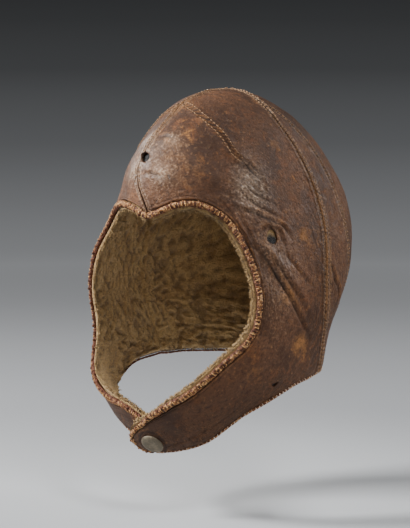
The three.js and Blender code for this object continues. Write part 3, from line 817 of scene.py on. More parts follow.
class Relief:
    """How far the leather stands off the form."""

    fold_noise = Noise(11)
    wrinkle_noise = Noise(23)

    @staticmethod
    def broad(toward: Array, hand: Hand) -> Array:
        """The broad folds, and the left flap's lap over the right one.

        Args:
            toward: directions.
            hand: the side of the piece.

        Returns:
            Millimetres out from the form.
        """
        up = np.degrees(np.arcsin(np.clip(toward[..., 2], -1, 1)))
        around = np.degrees(np.arctan2(np.abs(toward[..., 0]), -toward[..., 1]))
        side = np.where(toward[..., 0] < 0, -1, 1)
        total = np.zeros(up.shape)
        for fold in FOLDS:
            level = np.radians(around - fold.at.round) * math.cos(math.radians(fold.at.up))
            rise = np.radians(up - fold.at.up)
            cos, sin = math.cos(math.radians(fold.turn)), math.sin(math.radians(fold.turn))
            along = (level * cos + rise * sin) / fold.long
            across = (rise * cos - level * sin) / fold.wide
            here = np.where((fold.hand is Hand.BACK) | (side == fold.hand.value), 1.0, 0.0)
            total += here * fold.lift * np.exp(-(along**2) - across**2)
        if hand is Hand.LEFT:
            signed = np.degrees(np.arctan2(toward[..., 0], -toward[..., 1]))
            total += WALLS.lap * smooth(52, 24, signed) * smooth(-30, -42, up)
        return total


@dataclass
class Marks:
    """What the leather shows: its height, how worn and crinkled it is, how dark with dirt and painted shade,
    and how glossy, with painted sheen.
    """

    named = ("wear", "grime", "gloss", "crinkle")

    height: Array
    wear: Array
    grime: Array
    gloss: Array
    crinkle: Array

    @classmethod
    def blank(cls, shape: tuple[int, ...]) -> "Marks":
        """Leather with nothing on it."""
        return cls(*(np.zeros(shape) for _ in range(5)))


@dataclass(frozen=True)
class Seam:
    """How the leather turns in at a seam, with the raised band and stitch lines beside it."""

    rows: tuple[float, ...] = (2.0,)
    band: float = 4.2
    rise: float = 0.4
    valley: float = 1.3
    valley_width: float = 0.75
    dip: float = 0.3
    shade: float = 0.8
    wear_low: float = 0.4
    wear_high: float = 0.4

    def height(self, reach: Array) -> Array:
        """The leather's height beside the seam.

        Args:
            reach: distances from the seam.

        Returns:
            Millimetres, less than 0 in the seam's valley.
        """
        height = self.rise * smooth(self.band + 1.0, self.band - 0.5, reach) * smooth(0.1, 1.4, reach)
        height = height - self.valley * bell(reach, self.valley_width)
        return height - sum(self.dip * bell(reach - row, 0.55) for row in self.rows)

    def wear(self, reach: Array, up: Array) -> Array:
        """How worn the seam's band is.

        Args:
            reach: distances from the seam.
            up: angles up on the head.

        Returns:
            The wear at each distance.
        """
        level = self.wear_low + (self.wear_high - self.wear_low) * smooth(20, 55, up)
        crest = sum(bell(reach - row + 0.9, 0.55) for row in self.rows) + 0.5 * bell(reach - self.band, 0.6)
        return level * (0.3 * smooth(self.band + 1.5, self.band - 1.0, reach) + 0.6 * crest)

    def grime(self, reach: Array) -> Array:
        """How dark the seam's valley and its stitch holes are painted, as painted shade in those recesses."""
        holes = sum(0.5 * bell(reach - row, 0.5) for row in self.rows)
        return self.shade * bell(reach, self.valley_width) + holes


CENTRE = Seam(
    rows=(2.1,), band=4.0, rise=0.55, valley=0.9, valley_width=0.5, dip=0.4,
    shade=0.6, wear_low=0.3, wear_high=0.7,
)
CROWN_FRONT = Seam(rows=(2.0,), band=4.0, rise=0.6, wear_low=0.45, wear_high=0.3)
CROWN_BACK = Seam(rows=(2.0, 5.4), band=6.6, rise=0.9, dip=0.5, wear_low=1.0, wear_high=0.5)
BACK_SEAMS = Seam(rows=(2.0,), band=4.0, rise=0.5, wear_low=0.45, wear_high=0.3)
DART_BAND = Seam(rows=(2.1,), band=3.4, rise=0.55, valley=0.9, valley_width=0.6, wear_low=0.6, wear_high=0.65)


@dataclass
class LeatherPanel:
    """A leather piece: its panel, the marks on it and the mesh made of both."""

    panel: Panel
    seams: dict[Edge, Seam]
    marks: Marks = field(init=False)
    broad: Array = field(init=False)
    up: Array = field(init=False)
    around: Array = field(init=False)

    def __post_init__(self) -> None:
        """Shapes the leather."""
        toward = self.panel.toward
        self.up = np.degrees(np.arcsin(toward[..., 2]))
        self.around = np.degrees(np.arctan2(np.abs(toward[..., 0]), -toward[..., 1]))
        for edge in self.seams:
            self.panel.stretch(edge, -WALLS.gap / 2 * self.on_seam(edge), fade=1.5)
        self.broad = Relief.broad(toward, self.panel.hand)
        self.marks = Marks.blank(self.broad.shape)
        self._undulate()
        self._crease()
        self._sew_dart()
        self._turn_edges()
        self._scuff()

    @property
    def is_side(self) -> bool:
        """True for the two big side pieces."""
        return self.panel.hand is not Hand.BACK

    @property
    def flow(self) -> Array:
        """How far each point lies from the near edge and the head edge."""
        reach = self.panel.reach
        return np.stack([reach[Edge.NEAR], reach[Edge.HEAD], 0 * reach[Edge.NEAR]], axis=-1)

    def on_seam(self, edge: Edge) -> Array:
        """Tells which part of an edge is a seam.

        Args:
            edge: the edge.

        Returns:
            1 at each point along a seam, and 0 along the hem.
        """
        length = len(edge.line(self.panel.base))
        if edge is Edge.FAR and self.is_side:
            return (crowded(length, ROW_CROWDING) <= SPLIT + 0.002).astype(float)
        return np.ones(length)

    def along(self, edge: Edge) -> Array:
        """How far along an edge each point lies."""
        return self.panel.reach[Edge.HEAD if edge.is_upright else Edge.NEAR]

    def _patch(self, around: float, up: float, wide: float, tall: float) -> Array:
        """A soft patch: 1 at its middle, falling off over half its sizes. All are degrees."""
        return np.exp(-(((self.around - around) / wide) ** 2) - ((self.up - up) / tall) ** 2)

    def _route(self, route: tuple[Place, ...], count: int) -> Array:
        """Points along a curve on the form, mirrored on the right piece."""
        points = FORM.points(curve_through(route)(np.linspace(0, 1, count)))
        return flipped(points) if self.panel.hand is Hand.RIGHT else points

    def _undulate(self) -> None:
        """Adds the soft unevenness of worn leather and its flowing wrinkles."""
        base, marks = self.panel.base, self.marks
        noise = Relief.fold_noise
        marks.height += 0.6 * noise.layered(base, 34, 2) + 0.3 * noise.layered(base + 91, 10, 2)
        flow = self.flow / np.array([2.9, 24.0, 1.0])
        flow[..., 0] += 1.1 * noise.at(base, 20)
        lines = Relief.wrinkle_noise.at(flow, 1.0) + 0.5 * Relief.wrinkle_noise.at(flow * 1.9 + 7, 1.0)
        if self.is_side:
            temple = self._patch(54, 41, 10, 10)
            cheek = self._patch(62, 4, 10, 24)
            behind = bell(self.panel.reach[Edge.FAR] - 9, 14) * smooth(60, 20, self.up)
            brow = self._patch(5, 43, 15, 10)
            # Two raised, glossy spots on the brow, whose colour takes a painted highlight.
            sheen = self._patch(9, 52, 5, 3.5) + self._patch(8.5, 39.5, 5, 3.5)
            marks.height += 0.9 * sheen
            strength = 0.2 + 1.15 * temple + 0.7 * cheek + 0.5 * behind
            marks.height += 1.5 * self._patch(52, 41.5, 6, 4.5)
            marks.height += 1.2 * self._patch(63, 43, 5, 6)
            # Glossy patches at the temple, cheek and brow; their colour also takes a painted sheen.
            marks.gloss += 1.3 * temple + 0.45 * cheek + 0.42 * brow + 0.6 * sheen
            # The flap's lower part is painted darker, as painted shade where it turns downward.
            marks.grime += 0.4 * smooth(-26, -44, self.up) * smooth(78, 45, self.around)
        else:
            strength = 0.25 + 0.35 * smooth(20, 60, self.panel.reach[Edge.HEAD])
        marks.crinkle += np.clip(strength, 0, 1)
        # Painted shade: the crown is painted darker towards its top.
        marks.grime += 0.36 * smooth(52, 72, self.up)
        ridge = 1 - np.abs(lines)
        marks.height += 0.6 * strength * (ridge - 0.6)
        # Wrinkle valleys are painted darker: dirt and painted shade in the hollows.
        marks.grime += 0.22 * strength * smooth(0.5, 0.0, ridge)
        marks.wear += 0.25 * strength * smooth(0.8, 1.0, ridge)

    def _crease(self) -> None:
        """Presses the creases in, each with the ridge beside it."""
        mirror = -1 if self.panel.hand is Hand.RIGHT else 1
        for crease in CREASES:
            if self.panel.hand not in crease.hands:
                continue
            route = self._route(crease.route, 26)
            gap, share, side = route_distance(self.panel.base, route, self.panel.normal)
            taper = np.sqrt(np.sin(np.pi * np.clip(share, 0.02, 0.98)))
            broken = taper * (0.8 + 0.35 * Relief.fold_noise.at(self.panel.base + 40, 6))
            ridge = bell(gap - 2.1 * crease.width, 1.3 * crease.width) * taper * (0.65 + 0.35 * mirror * side)
            self.marks.height += crease.ridge * ridge - crease.depth * bell(gap, crease.width) * broken
            # Each crease's hollow is painted dark: dirt and painted shade in the crease.
            self.marks.grime += 0.7 * crease.depth * bell(gap, 0.7 * crease.width) * broken
            self.marks.wear += 0.45 * crease.ridge * ridge

    def dart_route(self) -> Array:
        """The dart's middle line on the form."""
        return self._route(DART, 40)

    def _pucker(self, reach: Array, along: Array, seam: Seam) -> Array:
        """The small gathers that stitches pull across a seam."""
        gathers = Relief.wrinkle_noise.at(np.stack([along / 2.4, reach / 9, 0 * along], axis=-1), 1.0)
        return 0.13 * gathers * bell(reach - seam.band, 2.2)

    def _sew_dart(self) -> None:
        """Makes the dart: a raised band with a valley and two stitch lines."""
        if not self.is_side:
            return
        route = self.dart_route()
        gap, share, _ = route_distance(self.panel.base, route)
        length = np.linalg.norm(np.diff(route, axis=0), axis=1).sum()
        fade = smooth(1.0, 0.93, share) * smooth(13, 8, gap)
        self.marks.height += fade * (DART_BAND.height(gap) + self._pucker(gap, share * length, DART_BAND))
        # The dart's valley and stitch holes are painted dark as shade.
        self.marks.grime += fade * DART_BAND.grime(gap) * 0.8
        self.marks.wear += fade * DART_BAND.wear(gap, self.up)

    def _turn_edges(self) -> None:
        """Rounds the leather into its seams and edges."""
        for edge in Edge:
            reach = self.panel.reach[edge]
            rest = np.ones(reach.shape)
            if edge in self.seams:
                seam, on = self.seams[edge], self.on_seam(edge)
                spread = on[:, None] if edge.is_upright else on[None]
                here = np.broadcast_to(spread, reach.shape)
                rest = 1 - here
                fade = here * smooth(13, 9, reach)
                self.marks.height += fade * (seam.height(reach) + self._pucker(reach, self.along(edge), seam))
                # The seam's valley and stitch holes are painted dark as shade.
                self.marks.grime += fade * seam.grime(reach)
                self.marks.wear += fade * seam.wear(reach, self.up)
                # The seam band is glossier, and its colour takes a painted sheen.
                self.marks.gloss += 0.35 * fade * smooth(seam.band + 1.0, seam.band - 0.5, reach)
            groove = 2.8 if edge in (Edge.NEAR, Edge.FOOT) else 2.0
            self.marks.height -= rest * (0.7 * bell(reach, 0.8) + 0.2 * bell(reach - groove, 0.5))
            # The edge's turn and its groove are painted dark as shade.
            self.marks.grime += rest * (0.16 * bell(reach - groove, 0.5) + 0.35 * bell(reach, 0.7))
            self.marks.wear += rest * 0.35 * bell(reach - 1.3, 0.7)

    def _scuff(self) -> None:
        """Wears the spots and scratches into the leather, and paints a shadow ring at the snap's rim with a
        worn ring beyond it.
        """
        if not self.is_side:
            return
        patchy = 0.75 + 0.5 * Relief.fold_noise.at(self.panel.base + 13, 5)
        for scuff in SCUFFS:
            if scuff.hand is self.panel.hand or scuff.at.round < 6:
                centre = FORM.spot(scuff.at)
                centre = flipped(centre) if scuff.hand is Hand.RIGHT else centre
                away = np.linalg.norm(self.panel.base - centre, axis=-1)
                self.marks.wear += scuff.strength * bell(away, scuff.size) * patchy
        if self.panel.hand is Hand.LEFT:
            for scratch in SCRATCHES:
                gap, share, _ = route_distance(self.panel.base, self._route(scratch, 9))
                self.marks.wear += 0.9 * bell(gap, 0.6) * np.sin(np.pi * np.clip(share, 0.05, 0.95))
            away = np.linalg.norm(self.panel.base - FORM.spot(SNAP_AT), axis=-1)
            # A painted shadow in a ring at the snap cap's rim.
            self.marks.grime += 0.45 * bell(away - SNAP_RADIUS - 0.3, 0.7)
            self.marks.wear += 0.35 * bell(away - SNAP_RADIUS - 2.0, 0.9)

    @property
    def outer(self) -> Array:
        """The outside of the leather."""
        deepest = 0.6 - WALLS.leather
        height = np.maximum(self.marks.height, deepest) + self.broad
        return self.panel.base + self.panel.normal * height[..., None]

    @property
    def inner(self) -> Array:
        """The inside of the leather."""
        return self.panel.base + self.panel.normal * (self.broad - WALLS.leather)[..., None]

    def line(self, edge: Edge, inset: float) -> tuple[Array, Array]:
        """A line on the outside along the seam at a distance from an edge.

        Args:
            edge: the edge that it runs along.
            inset: the distance from it.

        Returns:
            The line's points and the normals there.
        """
        outer, normal, reach = self.outer, self.panel.normal, self.panel.reach[edge]
        if edge in (Edge.HEAD, Edge.FOOT):
            outer, normal, reach = outer.transpose(1, 0, 2), normal.transpose(1, 0, 2), reach.T
        if edge in (Edge.FAR, Edge.FOOT):
            outer, normal, reach = outer[:, ::-1], normal[:, ::-1], reach[:, ::-1]
        spots, normals = [], []
        for points, ways, gaps, on in zip(outer, normal, reach, self.on_seam(edge)):
            if on and gaps[-1] > inset:
                spots.append(read_along(inset, gaps, points))
                normals.append(read_along(inset, gaps, ways))
        return np.array(spots), unit(np.array(normals))


class MeshMaker:
    """Turns arrays in millimetres into Blender objects."""

    @staticmethod
    def build(
        name: str, vertices: Array, faces: Array | list, marks: dict[str, Array] | None = None
    ) -> bpy.types.Object:
        """Makes an object from vertices and faces.

        Args:
            name: the object's name.
            vertices: positions in millimetres.
            faces: vertex indices of each face.
            marks: values for each vertex, by attribute name.

        Returns:
            The new object, smooth shaded and in the scene.
        """
        mesh = bpy.data.meshes.new(name)
        listed = faces.tolist() if isinstance(faces, np.ndarray) else faces
        mesh.from_pydata((vertices * MM).tolist(), [], listed)
        for label, values in (marks or {}).items():
            if values.shape[-1] == 3:
                attribute = mesh.attributes.new(label, "FLOAT_VECTOR", "POINT")
                attribute.data.foreach_set("vector", (values * MM).astype(np.float32).ravel())
            else:
                attribute = mesh.attributes.new(label, "FLOAT", "POINT")
                attribute.data.foreach_set("value", np.clip(values, 0, 1).astype(np.float32).ravel())
        mesh.polygons.foreach_set("use_smooth", np.ones(len(mesh.polygons), dtype=bool))
        mesh.update()
        made = bpy.data.objects.new(name, mesh)
        bpy.context.scene.collection.objects.link(made)
        return made

    @staticmethod
    def shell_faces(rows: int, columns: int) -> Array:
        """Faces of a closed shell whose outer grid comes first and inner grid second.

        Args:
            rows: rows of each grid.
            columns: columns of each grid.

        Returns:
            Vertex indices of each face.
        """
        index = np.arange(rows * columns).reshape(rows, columns)
        a, b, c, d = index[:-1, :-1], index[:-1, 1:], index[1:, 1:], index[1:, :-1]
        outer = np.stack([a, d, c, b], axis=-1).reshape(-1, 4)
        inner = np.stack([a, b, c, d], axis=-1).reshape(-1, 4) + rows * columns
        ring = np.concatenate([index[0, :-1], index[:-1, -1], index[-1, :0:-1], index[:0:-1, 0]])
        after = np.roll(ring, -1)
        rim = np.stack([ring, after, after + rows * columns, ring + rows * columns], axis=-1)
        return np.vstack([outer, inner, rim])

    @classmethod
    def shell(cls, name: str, outer: Array, inner: Array, marks: dict[str, Array]) -> bpy.types.Object:
        """A closed wall between two grids, its faces pointing out.

        Args:
            name: the object's name.
            outer: the outer grid's positions.
            inner: the inner grid's positions.
            marks: values for each point of a grid, by attribute name.

        Returns:
            The new object.
        """
        rows, columns = outer.shape[:2]
        faces = cls.shell_faces(rows, columns)
        a, b, c = (outer.reshape(-1, 3)[faces[0, k]] for k in range(3))
        facing = np.cross(b - a, c - a) @ (a - inner.reshape(-1, 3)[faces[0, 0]])
        if facing < 0:
            faces = faces[:, ::-1]
        vertices = np.vstack([outer.reshape(-1, 3), inner.reshape(-1, 3)])
        doubled = {
            label: np.concatenate([values.reshape(rows * columns, -1)] * 2).squeeze()
            for label, values in marks.items()
        }
        return cls.build(name, vertices, faces, doubled)

    @staticmethod
    def tube_faces(stops: int, sides: int) -> tuple[Array, tuple[Array, Array]]:
        """Faces of a tube through rings of points.

        Args:
            stops: how many rings it has.
            sides: points on each ring.

        Returns:
            The faces of its wall, and its two end faces.
        """
        index = np.arange(stops * sides).reshape(stops, sides)
        around = np.roll(index, -1, axis=1)
        body = np.stack([index[:-1], around[:-1], around[1:], index[1:]], axis=-1).reshape(-1, 4)
        return body, (index[0, ::-1], index[-1])

    @classmethod
    def tube(cls, name: str, rings: Array, marks: dict[str, Array]) -> bpy.types.Object:
        """A closed tube through rings of points, with flat ends.

        Args:
            name: the object's name.
            rings: positions, by ring, side and axis.
            marks: values for each vertex, by attribute name.

        Returns:
            The new object.
        """
        body, ends = cls.tube_faces(*rings.shape[:2])
        faces = body.tolist() + [end.tolist() for end in ends]
        centre = rings[1].mean(axis=0)
        a, b, c = rings[1, 0], rings[1, 1], rings[2, 1]
        if np.cross(b - a, c - a) @ (a - centre) < 0:
            faces = [face[::-1] for face in faces]
        return cls.build(name, rings.reshape(-1, 3), faces, marks)

    @classmethod
    def strands(cls, name: str, rings: Array, marks: dict[str, Array]) -> bpy.types.Object:
        """Many small closed tubes in one object.

        Args:
            name: the object's name.
            rings: positions, by strand, ring, side and axis.
            marks: values for each vertex, by attribute name.

        Returns:
            The new object.
        """
        count, stops, sides = rings.shape[:3]
        body, ends = cls.tube_faces(stops, sides)
        starts = np.arange(count) * stops * sides
        quads = (body[None] + starts[:, None, None]).reshape(-1, 4).tolist()
        caps = [(end + start).tolist() for start in starts for end in ends]
        return cls.build(name, rings.reshape(-1, 3), quads + caps, marks)


def resampled(track: Array, spacing: float, *carried: Array) -> tuple[Array, ...]:
    """Even stations along a track.

    Args:
        track: the track's points.
        spacing: the distance between stations.
        carried: arrays read along with the points.

    Returns:
        The stations' points, what was carried, and their distances along the track.
    """
    steps = np.linalg.norm(np.diff(track, axis=0), axis=1)
    length = np.concatenate([[0.0], np.cumsum(steps)])
    count = max(int(length[-1] / spacing), 2)
    at = np.linspace(0, length[-1], count + 1)
    return (*(read_along(at, length, values) for values in (track, *carried)), at)


def rings_along(track: Array, radius: Array, sides: int) -> Array:
    """Rings of points round many short tracks.

    Args:
        track: points by strand, stop and axis.
        radius: radii by strand and stop.
        sides: points on each ring.

    Returns:
        Positions by strand, stop, side and axis.
    """
    along = unit(np.gradient(track, axis=1))
    helper = np.where(np.abs(along[..., 2:]) < 0.8, [0.0, 0.0, 1.0], [1.0, 0.0, 0.0])
    first = unit(np.cross(along, helper))
    second = np.cross(along, first)
    angle = 2 * np.pi * np.arange(sides) / sides
    ring = np.cos(angle)[:, None] * first[:, :, None] + np.sin(angle)[:, None] * second[:, :, None]
    return track[:, :, None] + ring * radius[:, :, None, None]


@dataclass(frozen=True)
class Thread:
    """A line of stitches."""

    spacing: float = 3.0
    length: float = 2.2
    radius: float = 0.33
    sunk: float = 0.05

    def along(self, line: Array, normal: Array) -> Array:
        """Rings of the stitches along a line.

        Args:
            line: the line's points.
            normal: the normals there.

        Returns:
            Positions by stitch, stop, side and axis.
        """
        spots, normals, _ = resampled(line, self.spacing, normal)
        way = unit(np.gradient(spots, axis=0))
        normals = unit(normals)
        holes = [(FORM.spot(cut.at), cut.long / 2 + 1.0) for cut in CUTS]
        kept = np.all([np.linalg.norm(spots - middle, axis=1) > reach for middle, reach in holes], axis=0)
        spots, way, normals = spots[kept], way[kept], normals[kept]
        shares = np.array([-0.5, -0.3, 0.0, 0.3, 0.5])
        lift = np.array([-0.34, 0.02, 0.1, 0.02, -0.34]) + self.radius - self.sunk
        track = (
            spots[:, None]
            + way[:, None] * (shares * self.length)[None, :, None]
            + normals[:, None] * lift[None, :, None]
        )
        radius = np.broadcast_to(self.radius * np.array([0.45, 0.95, 1.0, 0.95, 0.45]), track.shape[:2])
        return rings_along(track, radius, 5)


class Socket:
    """A shader value that adds maths nodes as it is used in an expression."""

    def __init__(self, nodes: "Nodes", socket: bpy.types.NodeSocket) -> None:
        """Wraps an output socket."""
        self.nodes = nodes
        self.socket = socket

    def _math(self, operation: str, first: "Socket | float", second: "Socket | float") -> "Socket":
        """Adds a Math node."""
        return self.nodes.add("ShaderNodeMath", {"operation": operation}, {0: first, 1: second})

    def __add__(self, other: "Socket | float") -> "Socket":
        """Self plus other."""
        return self._math("ADD", self, other)

    def __radd__(self, other: float) -> "Socket":
        """Other plus self."""
        return self._math("ADD", other, self)

    def __sub__(self, other: "Socket | float") -> "Socket":
        """Self less other."""
        return self._math("SUBTRACT", self, other)

    def __rsub__(self, other: float) -> "Socket":
        """Other less self."""
        return self._math("SUBTRACT", other, self)

    def __mul__(self, other: "Socket | float") -> "Socket":
        """Self times other."""
        return self._math("MULTIPLY", self, other)

    def __rmul__(self, other: float) -> "Socket":
        """Other times self."""
        return self._math("MULTIPLY", other, self)

    def clamped(self) -> "Socket":
        """Self kept between 0 and 1."""
        return self.nodes.add("ShaderNodeClamp", {}, {"Value": self})

    def step(self, low: float, high: float) -> "Socket":
        """A smooth step of self from 0 at low to 1 at high."""
        settings = {"interpolation_type": "SMOOTHSTEP"}
        inputs = {"Value": self, "From Min": low, "From Max": high}
        return self.nodes.add("ShaderNodeMapRange", settings, inputs)


Colour = tuple[float, float, float]


class Nodes:
    """The node tree of one material."""

    def __init__(self, name: str) -> None:
        """Starts a material with its shader and output.

        Args:
            name: the material's name.
        """
        self.material = bpy.data.materials.new(name)
        self.material.use_nodes = True
        self.tree = self.material.node_tree
        self.tree.nodes.clear()
        output = self.tree.nodes.new("ShaderNodeOutputMaterial")
        self.shader = self.tree.nodes.new("ShaderNodeBsdfPrincipled")
        self.tree.links.new(self.shader.outputs["BSDF"], output.inputs["Surface"])

    def _fill(self, target: bpy.types.NodeSocket, value: object) -> None:
        """Links a wrapped socket or sets a plain value.

        Args:
            target: the input to fill.
            value: a wrapped socket, a number or a colour.
        """
        if isinstance(value, Socket):
            self.tree.links.new(value.socket, target)
        elif isinstance(value, tuple) and len(value) == 3 and target.type == "RGBA":
            target.default_value = (*value, 1.0)
        else:
            target.default_value = value

    @staticmethod
    def _set_stops(ramp: bpy.types.ColorRamp, stops: tuple[tuple[float, Colour], ...]) -> None:
        """Gives a colour ramp its stops.

        Args:
            ramp: the ramp, which starts with two stops.
            stops: positions and colours, in order.
        """
        while len(ramp.elements) < len(stops):
            ramp.elements.new(1.0)
        for element, (at, colour) in zip(ramp.elements, stops):
            element.position = at
            element.color = (*colour, 1.0)

    def add(self, kind: str, settings: dict, inputs: dict, output: int | str = 0) -> Socket:
        """Adds a node.

        Args:
            kind: the node's type.
            settings: its properties and a ramp's stops, set first.
            inputs: values or links of its sockets, by name or place.
            output: which output to give back.

        Returns:
            The wrapped output.
        """
        node = self.tree.nodes.new(kind)
        for label, value in settings.items():
            if label == "stops":
                self._set_stops(node.color_ramp, value)
            else:
                setattr(node, label, value)
        for label, value in inputs.items():
            self._fill(node.inputs[label], value)
        return Socket(self, node.outputs[output])

    def place(self) -> Socket:
        """Positions on the object."""
        return self.add("ShaderNodeTexCoord", {}, {}, "Object")

    def mark(self, name: str) -> Socket:
        """A value stored on the mesh."""
        return self.add("ShaderNodeAttribute", {"attribute_name": name}, {}, "Fac")

    def way(self, name: str) -> Socket:
        """A vector stored on the mesh."""
        return self.add("ShaderNodeAttribute", {"attribute_name": name}, {}, "Vector")

    def noise(self, place: Socket, scale: float, detail: float = 3.0, distortion: float = 0.0) -> Socket:
        """Cloud noise from 0 to 1."""
        inputs = {"Vector": place, "Scale": scale, "Detail": detail, "Distortion": distortion}
        return self.add("ShaderNodeTexNoise", {}, inputs, "Fac")

    def warped(self, place: Socket, scale: float, amount: float) -> Socket:
        """Positions shifted by cloud noise."""
        shift = self.add("ShaderNodeTexNoise", {}, {"Vector": place, "Scale": scale, "Detail": 3.0}, "Color")
        settings = {"operation": "MULTIPLY_ADD"}
        return self.add("ShaderNodeVectorMath", settings, {0: shift, 1: (amount, amount, amount), 2: place})

    def cells(self, place: Socket, scale: float, feature: str = "F1") -> Socket:
        """Distance to the nearest cell point or cell edge."""
        inputs = {"Vector": place, "Scale": scale}
        return self.add("ShaderNodeTexVoronoi", {"feature": feature}, inputs, "Distance")

    def ramp(self, value: Socket, stops: tuple[tuple[float, Colour], ...]) -> Socket:
        """A colour read from stops between 0 and 1."""
        return self.add("ShaderNodeValToRGB", {"stops": stops}, {0: value})

    def stretched(self, place: Socket, scale: Colour) -> Socket:
        """Positions scaled by axis."""
        return self.add("ShaderNodeVectorMath", {"operation": "MULTIPLY"}, {0: place, 1: scale})

    def mixed(self, share: "Socket | float", first: "Socket | Colour", second: "Socket | Colour") -> Socket:
        """A mix of two colours."""
        return self.add("ShaderNodeMix", {"data_type": "RGBA"}, {0: share, 6: first, 7: second}, 2)

    def bump(self, height: Socket, distance: float, strength: float = 1.0) -> Socket:
        """A normal bent by a height, its distance in metres."""
        inputs = {"Height": height, "Distance": distance, "Strength": strength}
        return self.add("ShaderNodeBump", {}, inputs, "Normal")

    def finish(self, **inputs: object) -> bpy.types.Material:
        """Fills the shader's sockets, named with underscores for spaces."""
        for label, value in inputs.items():
            self._fill(self.shader.inputs[label.replace("_", " ")], value)
        return self.material


@dataclass(frozen=True)
class Leather:
    """Brown leather, cracked and rubbed by wear, darkened by dirt and painted shade, and lit by a painted
    sheen where glossy.
    """

    dark: Colour = (0.060, 0.025, 0.012)
    brown: Colour = (0.140, 0.060, 0.027)
    red: Colour = (0.185, 0.070, 0.025)
    rubbed: Colour = (0.450, 0.200, 0.062)
    dusty: Colour = (0.230, 0.135, 0.075)
    # The pale colour of a painted sheen on glossy spots.
    painted_sheen_colour: Colour = (0.540, 0.380, 0.260)
    # Near black, for dirt and painted shade.
    grime: Colour = (0.008, 0.004, 0.003)

    def make(self) -> bpy.types.Material:
        """Builds the material.

        Returns:
            The finished material.
        """
        nodes = Nodes("worn_brown_leather")
        place, flow = nodes.place(), nodes.way("flow")
        wear, grime, gloss, crinkle = (nodes.mark(name) for name in Marks.named)
        cloud = nodes.noise(place, 28, 4)
        blotch = nodes.noise(place, 120, 5, 0.5)
        mottle = nodes.noise(place, 340, 4, 0.4)
        fleck = nodes.noise(place, 640, 3)
        hair = nodes.noise(nodes.stretched(nodes.warped(flow, 60, 0.012), (1.0, 0.13, 1.0)), 520, 3, 0.4)
        streak = (hair - 0.5) * (hair - 0.5) * 420
        hairline = (1 - streak).clamped() * crinkle
        bent = nodes.warped(place, 240, 0.005)
        fine = nodes.cells(bent, 400, "DISTANCE_TO_EDGE").step(0.10, 0.0)
        coarse = nodes.cells(bent, 150, "DISTANCE_TO_EDGE").step(0.055, 0.0)
        crack = (fine * blotch.step(0.42, 0.62) * 0.8 + coarse * cloud.step(0.4, 0.6)).clamped()
        colour = nodes.mixed(cloud.step(0.36, 0.62), self.dark, self.brown)
        colour = nodes.mixed(blotch.step(0.5, 0.72) * 0.8, colour, self.red)
        colour = nodes.mixed(mottle.step(0.48, 0.28) * 0.6, colour, self.dark)
        colour = nodes.mixed(mottle.step(0.55, 0.8) * blotch.step(0.58, 0.4) * 0.5, colour, self.dusty)
        rim = (crack * mottle.step(0.5, 0.7) * 0.4 + hairline * 0.25).clamped()
        patchy = (wear * 1.3 - (1 - blotch) * 0.6 - (1 - mottle) * 0.5 + fleck * 0.5 - 0.02).clamped()
        colour = nodes.mixed((patchy * 0.9 + rim).clamped(), colour, self.rubbed)
        flecked = fleck.step(0.56, 0.72) * mottle.step(0.45, 0.68) * 0.5
        colour = nodes.mixed(flecked, colour, self.rubbed)
        # Painted sheen: glossy spots are mixed towards a pale colour, as painted highlights.
        painted_sheen = gloss * fleck.step(0.46, 0.66) * mottle.step(0.38, 0.6) * 0.75 + gloss * gloss * 0.42
        colour = nodes.mixed(painted_sheen.clamped(), colour, self.painted_sheen_colour)
        pitted = crack * mottle.step(0.5, 0.35) * 0.7 + fleck.step(0.46, 0.3) * (crinkle * 0.4 + 0.55)
        colour = nodes.mixed(pitted.clamped(), colour, self.dark)
        # Dirt and painted shade, from the leather's dark mark.
        colour = nodes.mixed((grime * 0.9).clamped(), colour, self.grime)
        rough = 0.55 + blotch * 0.14 + patchy * 0.2 - gloss * 0.33 - mottle * 0.1 + grime * 0.2
        pores = nodes.cells(place, 1500)
        raised = mottle * 0.7 + fleck * (crinkle * 0.5 + 0.6) + pores * 0.2
        relief = raised - crack * (crinkle * 0.9 + 0.35) - hairline
        return nodes.finish(
            Base_Color=colour,
            Roughness=rough.clamped(),
            Normal=nodes.bump(relief, 0.0006, 0.9),
            Specular_IOR_Level=0.3,
            Coat_Weight=(gloss * 0.4).clamped(),
            Coat_Roughness=0.42,
        )


@dataclass(frozen=True)
class Edging:
    """Thin tan leather rolled over an edge and sewn with thread."""

    tan: Colour = (0.43, 0.185, 0.060)
    rubbed: Colour = (0.80, 0.47, 0.22)
    dark: Colour = (0.150, 0.045, 0.017)
    pit: Colour = (0.045, 0.011, 0.005)

    def make(self) -> bpy.types.Material:
        """Builds the material.

        Returns:
            The finished material.
        """
        nodes = Nodes("rolled_edging")
        place = nodes.place()
        pit, under, dim = (nodes.mark(name) for name in ("pit", "under", "dim"))
        blotch = nodes.noise(place, 260, 4, 0.4)
        fleck = nodes.noise(place, 760, 3)
        colour = nodes.mixed(blotch.step(0.45, 0.66) * 0.9, self.tan, self.rubbed)
        colour = nodes.mixed(blotch.step(0.46, 0.3) * 0.8, colour, self.dark)
        beads = nodes.cells(nodes.warped(place, 300, 0.002), 440)
        colour = nodes.mixed(fleck.step(0.5, 0.36) * 0.8, colour, self.dark)
        colour = nodes.mixed(beads.step(0.40, 0.66) * 0.95, colour, self.pit)
        # Painted shade on the roll's underside and along its dimmed stretches; the underside is also darker
        # leather.
        colour = nodes.mixed((under + dim + fleck * 0.5 - 0.25).clamped(), colour, self.dark)
        # Painted shade in the pits where the thread pinches the roll.
        colour = nodes.mixed((pit + under * 0.25).clamped(), colour, self.pit)
        return nodes.finish(
            Base_Color=colour,
            Roughness=0.6 + blotch * 0.2,
            Normal=nodes.bump(fleck * 0.6 + blotch * 0.6 - beads * 1.3, 0.0012, 1.0),
            Specular_IOR_Level=0.4,
        )


